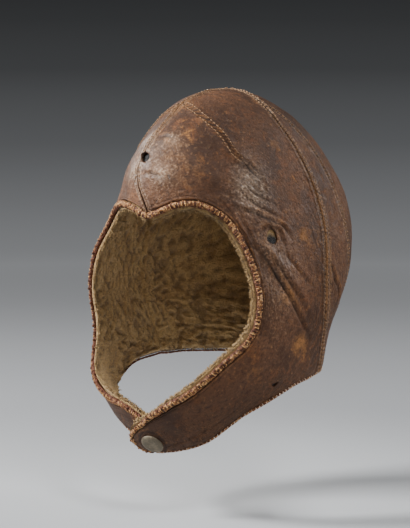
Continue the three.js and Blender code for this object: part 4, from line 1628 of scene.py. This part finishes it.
@dataclass(frozen=True)
class Fleece:
    """Matted golden pile, painted darker in its hollows as shade, and painted near black behind the holes as
    shade.
    """

    pale: Colour = (0.72, 0.47, 0.19)
    tan: Colour = (0.47, 0.27, 0.085)
    # A dark tone, for dark curls and hairs and for painted shade in the pile's hollows.
    deep: Colour = (0.16, 0.080, 0.024)
    # Near black, painted behind the holes as shade.
    soot: Colour = (0.006, 0.004, 0.003)

    def make(self) -> bpy.types.Material:
        """Builds the material.

        Returns:
            The finished material.
        """
        nodes = Nodes("matted_fleece")
        place = nodes.place()
        deep, soot = nodes.mark("deep"), nodes.mark("soot")
        cloud = nodes.noise(place, 50, 3)
        curl = nodes.noise(place, 420, 4, 1.4)
        hair = nodes.noise(place, 1900, 3, 1.2)
        paleness = cloud.step(0.35, 0.65) * 0.5 + curl.step(0.4, 0.62) * 0.5
        colour = nodes.mixed(paleness.clamped(), self.tan, self.pale)
        # Painted shade in the hollows between curls.
        colour = nodes.mixed((deep * 0.75 + curl.step(0.42, 0.28) * 0.35).clamped(), colour, self.deep)
        colour = nodes.mixed(hair.step(0.45, 0.3) * 0.45, colour, self.deep)
        # Painted shade behind the holes.
        colour = nodes.mixed(soot.clamped(), colour, self.soot)
        return nodes.finish(
            Base_Color=colour,
            Roughness=0.95,
            Normal=nodes.bump(curl + hair * 0.5, 0.0024, 1.0),
            Specular_IOR_Level=0.15,
            Sheen_Weight=0.25,
            Sheen_Roughness=0.6,
        )


@dataclass(frozen=True)
class Sewing:
    """Waxed thread."""

    name: str
    dark: Colour
    pale: Colour

    def make(self) -> bpy.types.Material:
        """Builds the material.

        Returns:
            The finished material.
        """
        nodes = Nodes(self.name)
        place = nodes.place()
        ply = nodes.noise(place, 900, 2)
        twist = nodes.noise(nodes.stretched(place, (1.0, 1.0, 2.0)), 3200, 2, 0.8)
        return nodes.finish(
            Base_Color=nodes.mixed(ply.step(0.35, 0.65), self.dark, self.pale),
            Roughness=0.6 + ply * 0.25,
            Normal=nodes.bump(twist, 0.0002, 0.7),
            Specular_IOR_Level=0.35,
        )


@dataclass(frozen=True)
class SnapMetal:
    """Dull painted metal, rubbed and tarnished."""

    paint: Colour = (0.120, 0.094, 0.058)
    rubbed: Colour = (0.205, 0.165, 0.105)
    tarnish: Colour = (0.035, 0.024, 0.014)

    def make(self) -> bpy.types.Material:
        """Builds the material.

        Returns:
            The finished material.
        """
        nodes = Nodes("tarnished_snap")
        place = nodes.place()
        blotch = nodes.noise(place, 260, 4)
        fleck = nodes.noise(place, 1500, 3)
        colour = nodes.mixed(blotch.step(0.45, 0.65), self.paint, self.rubbed)
        colour = nodes.mixed(fleck.step(0.5, 0.35) * 0.6, colour, self.tarnish)
        return nodes.finish(
            Base_Color=colour,
            Roughness=0.52 + blotch * 0.25,
            Metallic=fleck.step(0.45, 0.6) * 0.35,
            Normal=nodes.bump(fleck + blotch, 0.0002, 0.8),
        )


def dressed(piece: bpy.types.Object, material: bpy.types.Material) -> bpy.types.Object:
    """Gives a piece its material and slot, and lets it ride on the helmet.

    Args:
        piece: the object.
        material: its finish.

    Returns:
        The same object.
    """
    piece.data.materials.clear()
    piece.data.materials.append(material)
    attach(piece, "root")
    LOG.info("%s: %d faces", piece.name, len(piece.data.polygons))
    return piece


@dataclass(frozen=True)
class Cut:
    """A hole worn through the leather, its long way leaning by turn from level.

    The pile behind it is painted dark as shade, and shows pale at its top where tuft, the drop of that dark
    below the hole's middle, isn't 0.
    """

    at: Place
    hands: tuple[Hand, ...]
    long: float
    wide: float
    turn: float = 0.0
    depth: float = 14.0
    ragged: float = 0.05
    tuft: float = 0.0
    seed: int = 1
    outside: float = 14.0
    sides: int = 26

    def cutter(self) -> bpy.types.Object:
        """A ragged post at the hole, to cut with.

        Returns:
            The new object.
        """
        toward = self.at.toward()[None]
        centre, normal = FORM.points(toward)[0], FORM.normals(toward)[0]
        level = unit(np.cross([0.0, 0.0, 1.0], normal))
        rise = np.cross(normal, level)
        lean = math.radians(self.turn)
        first = math.cos(lean) * level + math.sin(lean) * rise
        second = np.cross(normal, first)
        random = np.random.default_rng(self.seed)
        angle = 2 * np.pi * np.arange(self.sides) / self.sides
        radius = 1 + self.ragged * (np.sin(3 * angle + self.seed) + random.uniform(-0.8, 0.8, self.sides))
        ring = (
            np.cos(angle)[:, None] * first * self.long / 2 + np.sin(angle)[:, None] * second * self.wide / 2
        ) * radius[:, None]
        heights = (-self.depth, 0.0, self.outside)
        widths = (0.8, 1.0, 1.0)
        rings = np.array([centre + ring * width + normal * height for width, height in zip(widths, heights)])
        # Its mark of 1 passes to the hole's walls, which are painted near black as shade.
        return MeshMaker.tube("cutter", rings, {"grime": np.ones(rings.shape[:2]).ravel()})


CUTS = (
    Cut(Place(-2.7, 44.2), BOTH, 10.6, 7.0, turn=-25, ragged=0.07, seed=5),
    Cut(Place(62.4, 18.2), LEFT_ONLY, 11.0, 8.0, turn=80, ragged=0.07, tuft=3.2, seed=8),
    Cut(Place(63.5, -42.5), LEFT_ONLY, 5.4, 3.2, turn=20, ragged=0.16, seed=13),
)


def pierced(piece: bpy.types.Object, cuts: list[Cut]) -> None:
    """Cuts holes through a piece.

    Args:
        piece: the object, changed in place.
        cuts: the holes to cut.
    """
    for cut in cuts:
        cutter = cut.cutter()
        modifier = piece.modifiers.new("hole", "BOOLEAN")
        modifier.operation = "DIFFERENCE"
        modifier.solver = "EXACT"
        modifier.object = cutter
        bpy.context.view_layer.update()
        evaluated = piece.evaluated_get(bpy.context.evaluated_depsgraph_get())
        mesh = bpy.data.meshes.new_from_object(evaluated)
        piece.modifiers.clear()
        old, piece.data = piece.data, mesh
        bpy.data.meshes.remove(old)
        bpy.data.objects.remove(cutter)


@dataclass
class LeatherCover:
    """The five leather pieces and their stitching."""

    rows: int = 230
    side_columns: int = 140
    back_rows: int = 130
    gore_columns: int = 36
    panel_columns: int = 100
    thread: Thread = Thread()
    pieces: dict[str, LeatherPanel] = field(default_factory=dict)

    def build(self, leather: bpy.types.Material, thread: bpy.types.Material) -> None:
        """Makes the pieces and dresses them.

        Args:
            leather: the leather's finish.
            thread: the stitches' finish.
        """
        side = {Edge.HEAD: CENTRE, Edge.FAR: CROWN_FRONT}
        left = {Edge.HEAD: CROWN_BACK, Edge.NEAR: CROWN_BACK, Edge.FAR: BACK_SEAMS}
        middle = {Edge.HEAD: CROWN_BACK, Edge.NEAR: BACK_SEAMS, Edge.FAR: BACK_SEAMS}
        right = {Edge.HEAD: CROWN_BACK, Edge.NEAR: BACK_SEAMS, Edge.FAR: CROWN_BACK}
        panels = (
            (side_panel("side_left", Hand.LEFT, self.rows, self.side_columns), side),
            (side_panel("side_right", Hand.RIGHT, self.rows, self.side_columns), side),
            (back_panel("gore_left", 0, 1, self.back_rows, self.gore_columns), left),
            (back_panel("back_panel", 1, 2, self.back_rows, self.panel_columns), middle),
            (back_panel("gore_right", 2, 3, self.back_rows, self.gore_columns), right),
        )
        for panel, seams in panels:
            made = LeatherPanel(panel, seams)
            self.pieces[panel.name] = made
            marks = {name: getattr(made.marks, name) for name in Marks.named}
            marks["flow"] = made.flow
            piece = MeshMaker.shell(f"leather_{panel.name}", made.outer, made.inner, marks)
            pierced(piece, [cut for cut in CUTS if panel.hand in cut.hands])
            dressed(piece, leather)
            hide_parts(panel.name)
            self._stitch(made, thread)

    def _stitch(self, piece: LeatherPanel, thread: bpy.types.Material) -> None:
        """Sews the lines beside a piece's seams and along its dart.

        Args:
            piece: the leather piece.
            thread: the stitches' finish.
        """
        rings = [
            self.thread.along(*piece.line(edge, row))
            for edge, seam in piece.seams.items()
            for row in seam.rows
        ]
        if piece.is_side:
            rings.extend(self._dart_stitches(piece))
        stitches = MeshMaker.strands(f"stitches_{piece.panel.name}", np.concatenate(rings), {})
        dressed(stitches, thread)

    def _dart_stitches(self, piece: LeatherPanel) -> list[Array]:
        """The two lines of stitches along a dart.

        Args:
            piece: the leather piece that has it.

        Returns:
            The rings of each line's stitches.
        """
        route = piece.dart_route()[4:-3]
        along = unit(np.gradient(route, axis=0))
        normal = FORM.normals(unit(route - FORM.core))
        sideways = unit(np.cross(along, normal))
        grid = piece.panel.base.reshape(-1, 3)
        heights = piece.marks.height.ravel()
        rings = []
        for side in (-1, 1):
            toward = unit(route + sideways * side * DART_BAND.rows[0] - FORM.core)
            line = FORM.points(toward)
            nearest = [int(np.argmin(((grid - spot) ** 2).sum(axis=1))) for spot in line]
            lift = Relief.broad(toward, piece.panel.hand) + heights[nearest]
            rings.append(self.thread.along(line + normal * lift[:, None], normal))
        return rings


@dataclass(frozen=True)
class Wrap:
    """Thread wrapped round part of a roll. Angles are shares of pi, 0 pointing out of the edge."""

    name: str
    every: float
    radius: float
    first: float
    last: float
    stray: float = 0.0
    swell: float = 0.0
    stops: int = 7

    def rings(self, roll: "EdgeRoll", spots: Array, normals: Array, along: Array) -> Array:
        """Rings of the wraps along a roll.

        Args:
            roll: the roll that the thread goes round.
            spots: stations on the roll's border.
            normals: the leather's normals there.
            along: the stations' distances along the border.

        Returns:
            Positions by wrap, stop, side and axis.
        """
        random = np.random.default_rng(int(10 * self.every))
        count = int(along[-1] / self.every) - 1
        stitch = (np.arange(1, count + 1) + random.uniform(-self.stray, self.stray, count)) * self.every
        shift = random.uniform(-self.stray, self.stray, (2, count))
        out = roll.outward(spots, normals)
        slim = roll.slim(along)
        tracks = []
        for share in np.linspace(0, 1, self.stops):
            turn = np.pi * (self.first + shift[0] + (self.last - self.first + shift[1]) * share)
            at = stitch - 0.12 * self.every * np.cos(turn)
            read = [read_along(at, along, values) for values in (spots, out, normals)]
            squeeze = np.full(count, 1 - 0.7 * roll.pinch)
            tracks.append(roll.at(*read, turn, squeeze, np.interp(at, along, slim)))
        track = np.stack(tracks, axis=1)
        ends = np.sin(np.pi * np.linspace(0.14, 0.86, self.stops))
        radius = self.radius * ends[None] * (1 + self.swell * random.uniform(-1, 1, (count, 1)))
        return rings_along(track, radius, 5)


@dataclass
class EdgeRoll:
    """A roll of edging along a border, pinched by its overcast thread."""

    name: str
    node: str
    width: float
    height: float
    low: float
    away: int
    pinch_every: float
    pinch: float
    pit: float
    sides: int
    spacing: float
    roughness: float
    taper: float = 1.0
    taper_over: float = 65.0
    pit_at: float = 0.2
    dim: tuple[tuple[float, ...], tuple[float, ...]] = ((0.0, 1.0), (0.4, 0.4))

    def build(
        self,
        track: Array,
        normal: Array,
        edging: bpy.types.Material,
        wraps: tuple[tuple[Wrap, bpy.types.Material], ...],
    ) -> None:
        """Makes the roll and its thread.

        Args:
            track: the border's points.
            normal: the leather's normals there.
            edging: the roll's finish.
            wraps: the threads wrapped round it, with their finishes.
        """
        spots, normals, along = resampled(track, self.spacing, normal)
        normals = unit(normals)
        angle = 2 * np.pi * (np.arange(self.sides) + 0.5) / self.sides
        rings = self._rings(spots, normals, along, angle)
        nearness = self._nearness(along)[:, None] + 0 * angle[None]
        # Pits in the pinches, on one side of the roll, are to be painted dark as shade.
        facing = bell(np.angle(np.exp(1j * (angle - np.pi * self.pit_at)))[None], 0.7)
        pit = bell(nearness, 0.2 * self.pinch_every) * facing
        noise = Noise(41)
        bumps = noise.layered(rings, 2.2, 2) * self.roughness
        centre = rings.mean(axis=1, keepdims=True)
        rings = rings + unit(rings - centre) * (bumps - self.pit * pit)[..., None]
        # The roll's underside is painted darker: darker leather and painted shade.
        under = np.broadcast_to(smooth(0.25, -0.55, np.sin(angle - 0.5))[None], pit.shape)
        # How much darker the roll is painted along its length; the face roll's far half is painted darker as
        # shade.
        dim = np.broadcast_to(np.interp(along / along[-1], *self.dim)[:, None], pit.shape)
        marks = {"pit": pit * 0.85, "under": under, "dim": dim}
        piece = MeshMaker.tube(self.name, rings, {label: values.ravel() for label, values in marks.items()})
        dressed(piece, edging)
        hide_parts(self.node)
        for wrap, thread in wraps:
            loops = wrap.rings(self, spots, normals, along)
            dressed(MeshMaker.strands(f"{wrap.name}_{self.name}", loops, {}), thread)

    def outward(self, spots: Array, normals: Array) -> Array:
        """The way out of a border."""
        return unit(np.cross(unit(np.gradient(spots, axis=0)), normals) * self.away)

    def slim(self, along: Array) -> Array:
        """The roll's share of its full size along it, less towards both ends."""
        ends = smooth(self.taper_over, 0, along) + smooth(along[-1] - self.taper_over, along[-1], along)
        return 1 - (1 - self.taper) * ends

    def at(
        self, spots: Array, out: Array, normals: Array, angle: Array, squeeze: Array, slim: Array
    ) -> Array:
        """Points round the roll's section, drawn in by a squeeze.

        Args:
            spots: points on the border.
            out: the ways out of it.
            normals: the leather's normals.
            angle: angles round the section.
            squeeze: how far the section is drawn in, 1 for not at all.
            slim: the roll's share of its full size.

        Returns:
            One position for each angle.
        """
        across = WALLS.gap + self.width / 2 * slim * (1 + np.cos(angle) * squeeze)
        over = self.low + self.height / 2 * (1 + np.sin(angle) * squeeze * slim)
        return spots + out * across[..., None] + normals * over[..., None]

    def _nearness(self, along: Array) -> Array:
        """Distance from the nearest pinch."""
        phase = along / self.pinch_every
        return np.abs(phase - np.round(phase)) * self.pinch_every

    def _rings(self, spots: Array, normals: Array, along: Array, angle: Array) -> Array:
        """The roll's rings, drawn in at each stitch.

        Args:
            spots: stations on the border.
            normals: the leather's normals there.
            along: the stations' distances along the border.
            angle: the angles of a ring's points.

        Returns:
            Positions by station, angle and axis.
        """
        out = self.outward(spots, normals)
        slant = 0.12 * self.pinch_every * np.cos(angle)[None]
        squeeze = 1 - self.pinch * bell(self._nearness(along[:, None] + slant), 0.2 * self.pinch_every)
        angles = np.broadcast_to(angle[None], squeeze.shape)
        slim = self.slim(along)[:, None]
        return self.at(spots[:, None], out[:, None], normals[:, None], angles, squeeze, slim)


def border(panel: LeatherPanel, edge: Edge) -> tuple[Array, Array]:
    """The broad edge line of a leather piece and its normals."""
    normal = edge.line(panel.panel.normal)
    return edge.line(panel.panel.base) + normal * edge.line(panel.broad)[:, None], normal


@dataclass
class Edgings:
    """The rolled face edge and the overcast hem."""

    cover: LeatherCover

    def build(
        self,
        edging: bpy.types.Material,
        thread: bpy.types.Material,
        edging_thread: bpy.types.Material,
        hem_thread: bpy.types.Material,
    ) -> None:
        """Makes both edges.

        Args:
            edging: the rolls' finish.
            thread: the face edge's dark knots.
            edging_thread: the face edge's fine overcast.
            hem_thread: the hem's thread.
        """
        left, right = self.cover.pieces["side_left"], self.cover.pieces["side_right"]
        face = self._joined(
            [
                self._turned(border(left, Edge.FOOT)),
                self._turned(border(left, Edge.NEAR)),
                border(right, Edge.NEAR),
                border(right, Edge.FOOT),
            ]
        )
        knots = Wrap("knots", 5.7, 0.9, 0.06, 0.46, stray=0.14, swell=0.5)
        overcast = Wrap("overcast", 2.85, 0.48, 0.1, 0.8, stray=0.09, swell=0.4)
        EdgeRoll(
            "rolled_face_edge", "face_binding", WALLS.roll_width - 0.4, WALLS.roll_height, -WALLS.leather, -1,
            pinch_every=2.85, pinch=0.12, pit=0.4, sides=16, spacing=0.75, roughness=0.6, taper=0.5,
            # The far half of the face roll is painted darker as shade.
            dim=((0.0, 0.5, 0.56, 1.0), (0.1, 0.15, 0.6, 0.6)),
        ).build(*face, edging, ((knots, thread), (overcast, edging_thread)))
        hem_low = -(WALLS.leather + WALLS.hem_height) / 2
        back = [self.cover.pieces[name] for name in ("gore_left", "back_panel", "gore_right")]
        hem = self._joined(
            [
                self._turned(self._hem(left)),
                *(border(piece, Edge.FOOT) for piece in back),
                self._hem(right),
            ]
        )
        whip = Wrap("whip", 3.0, 0.4, 0.1, 1.02, stray=0.06, swell=0.2, stops=9)
        EdgeRoll(
            "overcast_hem", "hem_binding", WALLS.hem_width, WALLS.hem_height, hem_low, 1,
            pinch_every=3.0, pinch=0.14, pit=0.2, sides=10, spacing=0.9, roughness=0.2,
        ).build(*hem, edging, ((whip, hem_thread),))

    @staticmethod
    def _hem(panel: LeatherPanel) -> tuple[Array, Array]:
        """A side piece's hem, from its back corner to the flap's tip."""
        track, normal = border(panel, Edge.FAR)
        start = int(np.searchsorted(crowded(len(track), ROW_CROWDING), SPLIT))
        return track[start:], normal[start:]

    @staticmethod
    def _turned(line: tuple[Array, Array]) -> tuple[Array, Array]:
        """A border run the other way."""
        return line[0][::-1], line[1][::-1]

    @staticmethod
    def _joined(lines: list[tuple[Array, Array]]) -> tuple[Array, Array]:
        """Borders end to end, without the points that they share.

        Args:
            lines: each border's points and normals.

        Returns:
            The points and normals of the whole line.
        """
        track = np.vstack([line[0][1:] for line in lines])
        normal = np.vstack([line[1][1:] for line in lines])
        apart = np.concatenate([[True], np.linalg.norm(np.diff(track, axis=0), axis=1) > 0.25])
        return track[apart], normal[apart]


@dataclass
class Lining:
    """The fleece inside the leather: a clumped pile with loose locks at its edges."""

    rows: int = 200
    side_columns: int = 120
    back_rows: int = 140
    back_columns: int = 100
    side_locks: int = 3400
    back_locks: int = 1300
    reveal: float = 6.0
    noise: Noise = field(default_factory=lambda: Noise(67))

    def build(self, fleece: bpy.types.Material) -> None:
        """Makes the three linings.

        Args:
            fleece: the pile's finish.
        """
        panels = (
            side_panel("fleece_left", Hand.LEFT, self.rows, self.side_columns),
            side_panel("fleece_right", Hand.RIGHT, self.rows, self.side_columns),
            back_panel("fleece_back", 0, 3, self.back_rows, self.back_columns),
        )
        for seed, panel in enumerate(panels):
            self._trim(panel)
            self._line(panel, fleece, seed)

    def _trim(self, panel: Panel) -> None:
        """Moves the pile's edges to where they show.

        Args:
            panel: the lining's patch, changed in place.
        """
        if panel.hand is Hand.BACK:
            panel.stretch(Edge.FOOT, -WALLS.fleece_setback, fade=4)
            return
        down = crowded(panel.base.shape[0], ROW_CROWDING)
        panel.stretch(Edge.NEAR, self.reveal - (self.reveal - WALLS.fleece_reveal) * smooth(0.82, 0.97, down))
        panel.stretch(Edge.FOOT, WALLS.fleece_reveal)
        panel.stretch(Edge.FAR, np.where(down > SPLIT, -WALLS.fleece_setback, -WALLS.gap / 2), fade=4)

    def _line(self, panel: Panel, fleece: bpy.types.Material, seed: int) -> None:
        """Makes one lining and its locks.

        Args:
            panel: the patch that it lines.
            fleece: the pile's finish.
            seed: the seed of its locks.
        """
        broad = Relief.broad(panel.toward, panel.hand)
        back = WALLS.leather + WALLS.gap
        edge = np.minimum.reduce([panel.reach[each] for each in Edge])
        shift = np.stack([self.noise.at(panel.base + 60 * k, 7) for k in (1, 2, 3)], axis=-1)
        bent = panel.base + 2.6 * shift
        curl = 1 - np.clip(1.7 * np.abs(self.noise.at(bent, 4.2) + 0.35 * self.noise.at(bent + 5, 2.1)), 0, 1)
        clump = 0.5 + 0.5 * self.noise.at(panel.base, 11)
        plump = np.sqrt(np.clip(edge / 3.2, 0.02, 1))
        thick = WALLS.fleece * (0.3 + 0.7 * plump) + plump * (2.6 * curl + 0.9 * clump - 1.8)
        outer = panel.base + panel.normal * (broad - back)[..., None]
        inner = panel.base + panel.normal * (broad - back - np.maximum(thick, 0.8))[..., None]
        # The hollows between curls are painted darker as shade, and the pile behind the holes near black as
        # shade.
        marks = {"deep": 0.8 * smooth(0.45, 0.0, curl), "soot": self._painted_hole_shade(panel)}
        piece = MeshMaker.shell(f"pile_{panel.name}", outer, inner, marks)
        dressed(piece, fleece)
        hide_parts(panel.name)
        locks = self._locks(panel, inner, outer, seed)
        # Each lock is painted darker at its root, as painted shade.
        shade = np.tile(np.repeat(np.array([0.6, 0.25, 0.0, 0.0]), 3), len(locks))
        dressed(MeshMaker.strands(f"locks_{panel.name}", locks, {"deep": shade}), fleece)

    @staticmethod
    def _painted_hole_shade(panel: Panel) -> Array:
        """How black the pile is painted behind the holes worn in the leather, as painted shade in the holes.

        Args:
            panel: the lining's patch.

        Returns:
            0 to 1 for each point of the patch.
        """
        soot = np.zeros(panel.base.shape[:2])
        for cut in CUTS:
            if panel.hand in cut.hands and cut.depth > WALLS.leather:
                centre = FORM.spot(cut.at) - np.array([0.0, 0.0, cut.tuft])
                away = np.linalg.norm(panel.base - centre, axis=-1)
                reach = 0.75 * cut.long - cut.tuft
                soot = np.maximum(soot, smooth(reach + 0.8, reach - 0.8, away))
        return soot

    def _locks(self, panel: Panel, inner: Array, outer: Array, seed: int) -> Array:
        """Small curled locks, most of them near the face edge.

        Args:
            panel: the patch.
            inner: the pile's inside.
            outer: the pile's back.
            seed: the seed of their places.

        Returns:
            Rings by lock, stop, side and axis.
        """
        random = np.random.default_rng(100 + seed)
        count = self.back_locks if panel.hand is Hand.BACK else self.side_locks
        rows, columns = panel.base.shape[:2]
        row = random.integers(1, rows - 1, count)
        column = random.integers(1, columns - 1, count)
        rim = random.random(count) < 0.62
        column = np.where(rim & (panel.hand is not Hand.BACK), random.integers(0, 6, count), column)
        low = rim & (panel.hand is Hand.BACK)
        row = np.where(low, random.integers(rows - 8, rows, count), row)
        depth = random.uniform(0.35, 1.0, count)[:, None]
        start = outer[row, column] * (1 - depth) + inner[row, column] * depth
        normal = panel.normal[row, column]
        near_way = panel.outward(Edge.NEAR)[row]
        foot_way = panel.outward(Edge.FOOT)[column]
        on_edge = (column < 6) & (panel.hand is not Hand.BACK)
        way = -normal * random.uniform(0.5, 1.0, (count, 1)) + random.normal(0, 0.45, (count, 3))
        way = way + near_way * (on_edge * random.uniform(0.2, 0.9, count))[:, None]
        way = unit(way + foot_way * (low * random.uniform(0.2, 0.8, count))[:, None])
        bend = unit(np.cross(way, random.normal(0, 1, (count, 3))))
        length = random.uniform(1.3, 3.0, count)[:, None]
        stops = [0.0, 0.4, 0.75, 1.0]
        turn = [0.0, 0.28, 0.42, 0.25]
        track = np.stack([start + way * length * s + bend * length * t for s, t in zip(stops, turn)], axis=1)
        thick = random.uniform(0.3, 0.55, count)[:, None] * np.array([1.0, 0.95, 0.7, 0.25])
        return rings_along(track, thick, 3)


@dataclass
class Snap:
    """The cap of the snap fastener and its hidden stud."""

    at: Place = SNAP_AT
    radius: float = SNAP_RADIUS
    sides: int = 56

    def build(self, metal: bpy.types.Material) -> None:
        """Makes the cap and dresses the stud.

        Args:
            metal: the finish of both.
        """
        toward = self.at.toward()[None]
        normal = FORM.normals(toward)[0]
        lift = Relief.broad(toward, Hand.LEFT)[0] + WALLS.gap
        base = FORM.points(toward)[0] + normal * lift
        first = unit(np.cross(normal, [0.0, 0.0, 1.0]))
        second = np.cross(normal, first)
        radius = self.radius
        profile = (
            (0.3, -WALLS.lining - WALLS.gap),
            (0.27 * radius, -WALLS.lining - WALLS.gap),
            (0.27 * radius, -0.1),
            (0.94 * radius, -0.1),
            (radius, 0.12),
            (radius, 0.45),
            (0.95 * radius, 0.95),
            (0.86 * radius, 1.35),
            (0.72 * radius, 1.66),
            (0.55 * radius, 1.74),
            (0.4 * radius, 1.66),
            (0.24 * radius, 1.58),
            (0.1, 1.55),
        )
        angle = 2 * np.pi * np.arange(self.sides) / self.sides
        rings = np.array(
            [
                base + normal * up
                + (np.cos(angle)[:, None] * first + np.sin(angle)[:, None] * second) * out
                for out, up in profile
            ]
        )
        dents = Noise(5).layered(rings, 4.2, 2)[..., None] * 0.16
        rings[4:] += normal * dents[4:]
        cap = dressed(MeshMaker.tube("snap_cap_dome", rings, {}), metal)
        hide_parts("snap_cap")
        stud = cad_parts["snap_stud"]
        stud.data.materials.clear()
        stud.data.materials.append(metal)


@dataclass(frozen=True)
class Lamp:
    """A square soft light. Its angles are degrees, its lengths metres and its power watts."""

    name: str
    azimuth: float
    elevation: float
    distance: float
    size: float
    power: float


@dataclass
class Studio:
    """The floor, the lights and the camera."""

    floor_z: float = -0.29
    azimuth: float = 39.0
    elevation: float = 7.0
    distance: float = 2.0
    lens: float = 189.4
    target: tuple[float, float, float] = (-0.0084, -0.0068, -0.1191)
    # A painted glow: the floor's emission by distance from the helmet, in metres.
    painted_glow_falloff: tuple[tuple[float, float], ...] = (
        (0.0, 0.0), (0.6, 0.0), (1.0, 0.06), (1.4, 0.18), (2.2, 0.135),
        (3.3, 0.092), (6.0, 0.05), (10.0, 0.036), (14.0, 0.030),
    )
    # A painted pool of light on the floor: pale near the helmet, then grey, then dark.
    pale: Colour = (0.46, 0.47, 0.48)
    grey: Colour = (0.29, 0.295, 0.305)
    dark: Colour = (0.02, 0.02, 0.02)
    air: Colour = (0.030, 0.034, 0.038)
    lamps: tuple[Lamp, ...] = (
        Lamp("key", -46, 34, 1.5, 0.42, 54),
        Lamp("second", 68, 50, 1.7, 0.45, 13),
        Lamp("fill", 50, 8, 2.4, 1.4, 10),
        Lamp("top", 40, 82, 1.6, 1.1, 2.5),
        Lamp("rim", 150, 26, 1.8, 0.6, 18),
        Lamp("back_fill", 250, 20, 2.4, 1.4, 12),
    )

    def build(self) -> None:
        """Sets the stage."""
        self._floor()
        self._world()
        self._camera()
        self._lights()

    def _floor(self) -> None:
        """A wide plain floor with a painted pool of light, pale beneath the helmet and falling off to dark
        grey, and a painted glow farther out.
        """
        mesh = bpy.data.meshes.new("floor")
        size = 30.0
        corners = [(x * size, y * size, self.floor_z) for x, y in ((-1, -1), (1, -1), (1, 1), (-1, 1))]
        mesh.from_pydata(corners, [], [(0, 1, 2, 3)])
        floor = bpy.data.objects.new("floor", mesh)
        bpy.context.scene.collection.objects.link(floor)
        nodes = Nodes("floor_with_painted_light_pool")
        flat = nodes.stretched(nodes.place(), (1.0, 1.0, 0.0))
        away = nodes.add("ShaderNodeVectorMath", {"operation": "LENGTH"}, {0: flat}, "Value")
        # Painted pool of light, pale near the helmet.
        colour = nodes.mixed(away.step(0.05, 0.42), self.pale, self.grey)
        colour = nodes.mixed(away.step(0.4, 1.6), colour, self.dark)
        stops = tuple((reach / size, (0.97 * grey, grey, 1.04 * grey)) for reach, grey in self.painted_glow_falloff)
        mesh.materials.append(
            nodes.finish(
                Base_Color=colour,
                Roughness=0.9,
                Specular_IOR_Level=0.1,
                # Painted glow: the floor gives off light by distance.
                Emission_Color=nodes.ramp(away * (1 / size), stops),
                Emission_Strength=1.0,
            )
        )

    def _world(self) -> None:
        """A dim, even grey all round."""
        world = bpy.data.worlds.new("studio_air")
        bpy.context.scene.world = world
        world.use_nodes = True
        background = world.node_tree.nodes["Background"]
        background.inputs["Color"].default_value = (*self.air, 1.0)
        background.inputs["Strength"].default_value = 1.0

    def _aimed(
        self, name: str, data: bpy.types.ID, azimuth: float, elevation: float, distance: float
    ) -> bpy.types.Object:
        """Adds a camera or light that faces the helmet.

        Args:
            name: the object's name.
            data: the camera or light itself.
            azimuth: its angle round from the face, towards the wearer's left.
            elevation: its angle above the level.
            distance: metres from the helmet.

        Returns:
            The object.
        """
        turn, rise = math.radians(azimuth), math.radians(elevation)
        way = Vector((math.sin(turn) * math.cos(rise), -math.cos(turn) * math.cos(rise), math.sin(rise)))
        aimed = bpy.data.objects.new(name, data)
        aimed.location = Vector(self.target) + way * distance
        aimed.rotation_mode = "QUATERNION"
        aimed.rotation_quaternion = (-way).to_track_quat("-Z", "Y")
        bpy.context.scene.collection.objects.link(aimed)
        return aimed

    def _camera(self) -> None:
        """The camera at the photograph's angle."""
        data = bpy.data.cameras.new("camera")
        data.lens = self.lens
        data.sensor_width = 36.0
        camera = self._aimed("camera", data, self.azimuth, self.elevation, self.distance)
        bpy.context.scene.camera = camera

    def _lights(self) -> None:
        """A key from the upper left, a weaker one on the right, soft fills and a rim."""
        for lamp in self.lamps:
            data = bpy.data.lights.new(lamp.name, "AREA")
            data.shape = "SQUARE"
            data.size = lamp.size
            data.energy = lamp.power
            self._aimed(lamp.name, data, lamp.azimuth, lamp.elevation, lamp.distance)


def main() -> None:
    """Builds the helmet and its studio."""
    logging.basicConfig(level=logging.INFO, format="%(name)s %(message)s")
    Studio().build()
    leather = Leather().make()
    edging = Edging().make()
    fleece = Fleece().make()
    seam_thread = Sewing("seam_thread", dark=(0.15, 0.075, 0.034), pale=(0.44, 0.27, 0.15)).make()
    edge_thread = Sewing("edge_thread", dark=(0.050, 0.016, 0.006), pale=(0.15, 0.050, 0.018)).make()
    edging_thread = Sewing("edging_thread", dark=(0.20, 0.070, 0.022), pale=(0.74, 0.43, 0.17)).make()
    hem_thread = Sewing("hem_thread", dark=(0.44, 0.27, 0.17), pale=(0.90, 0.72, 0.56)).make()
    cover = LeatherCover()
    cover.build(leather, seam_thread)
    Edgings(cover).build(edging, edge_thread, edging_thread, hem_thread)
    Lining().build(fleece)
    Snap().build(SnapMetal().make())


if __name__ == "__main__":
    main()
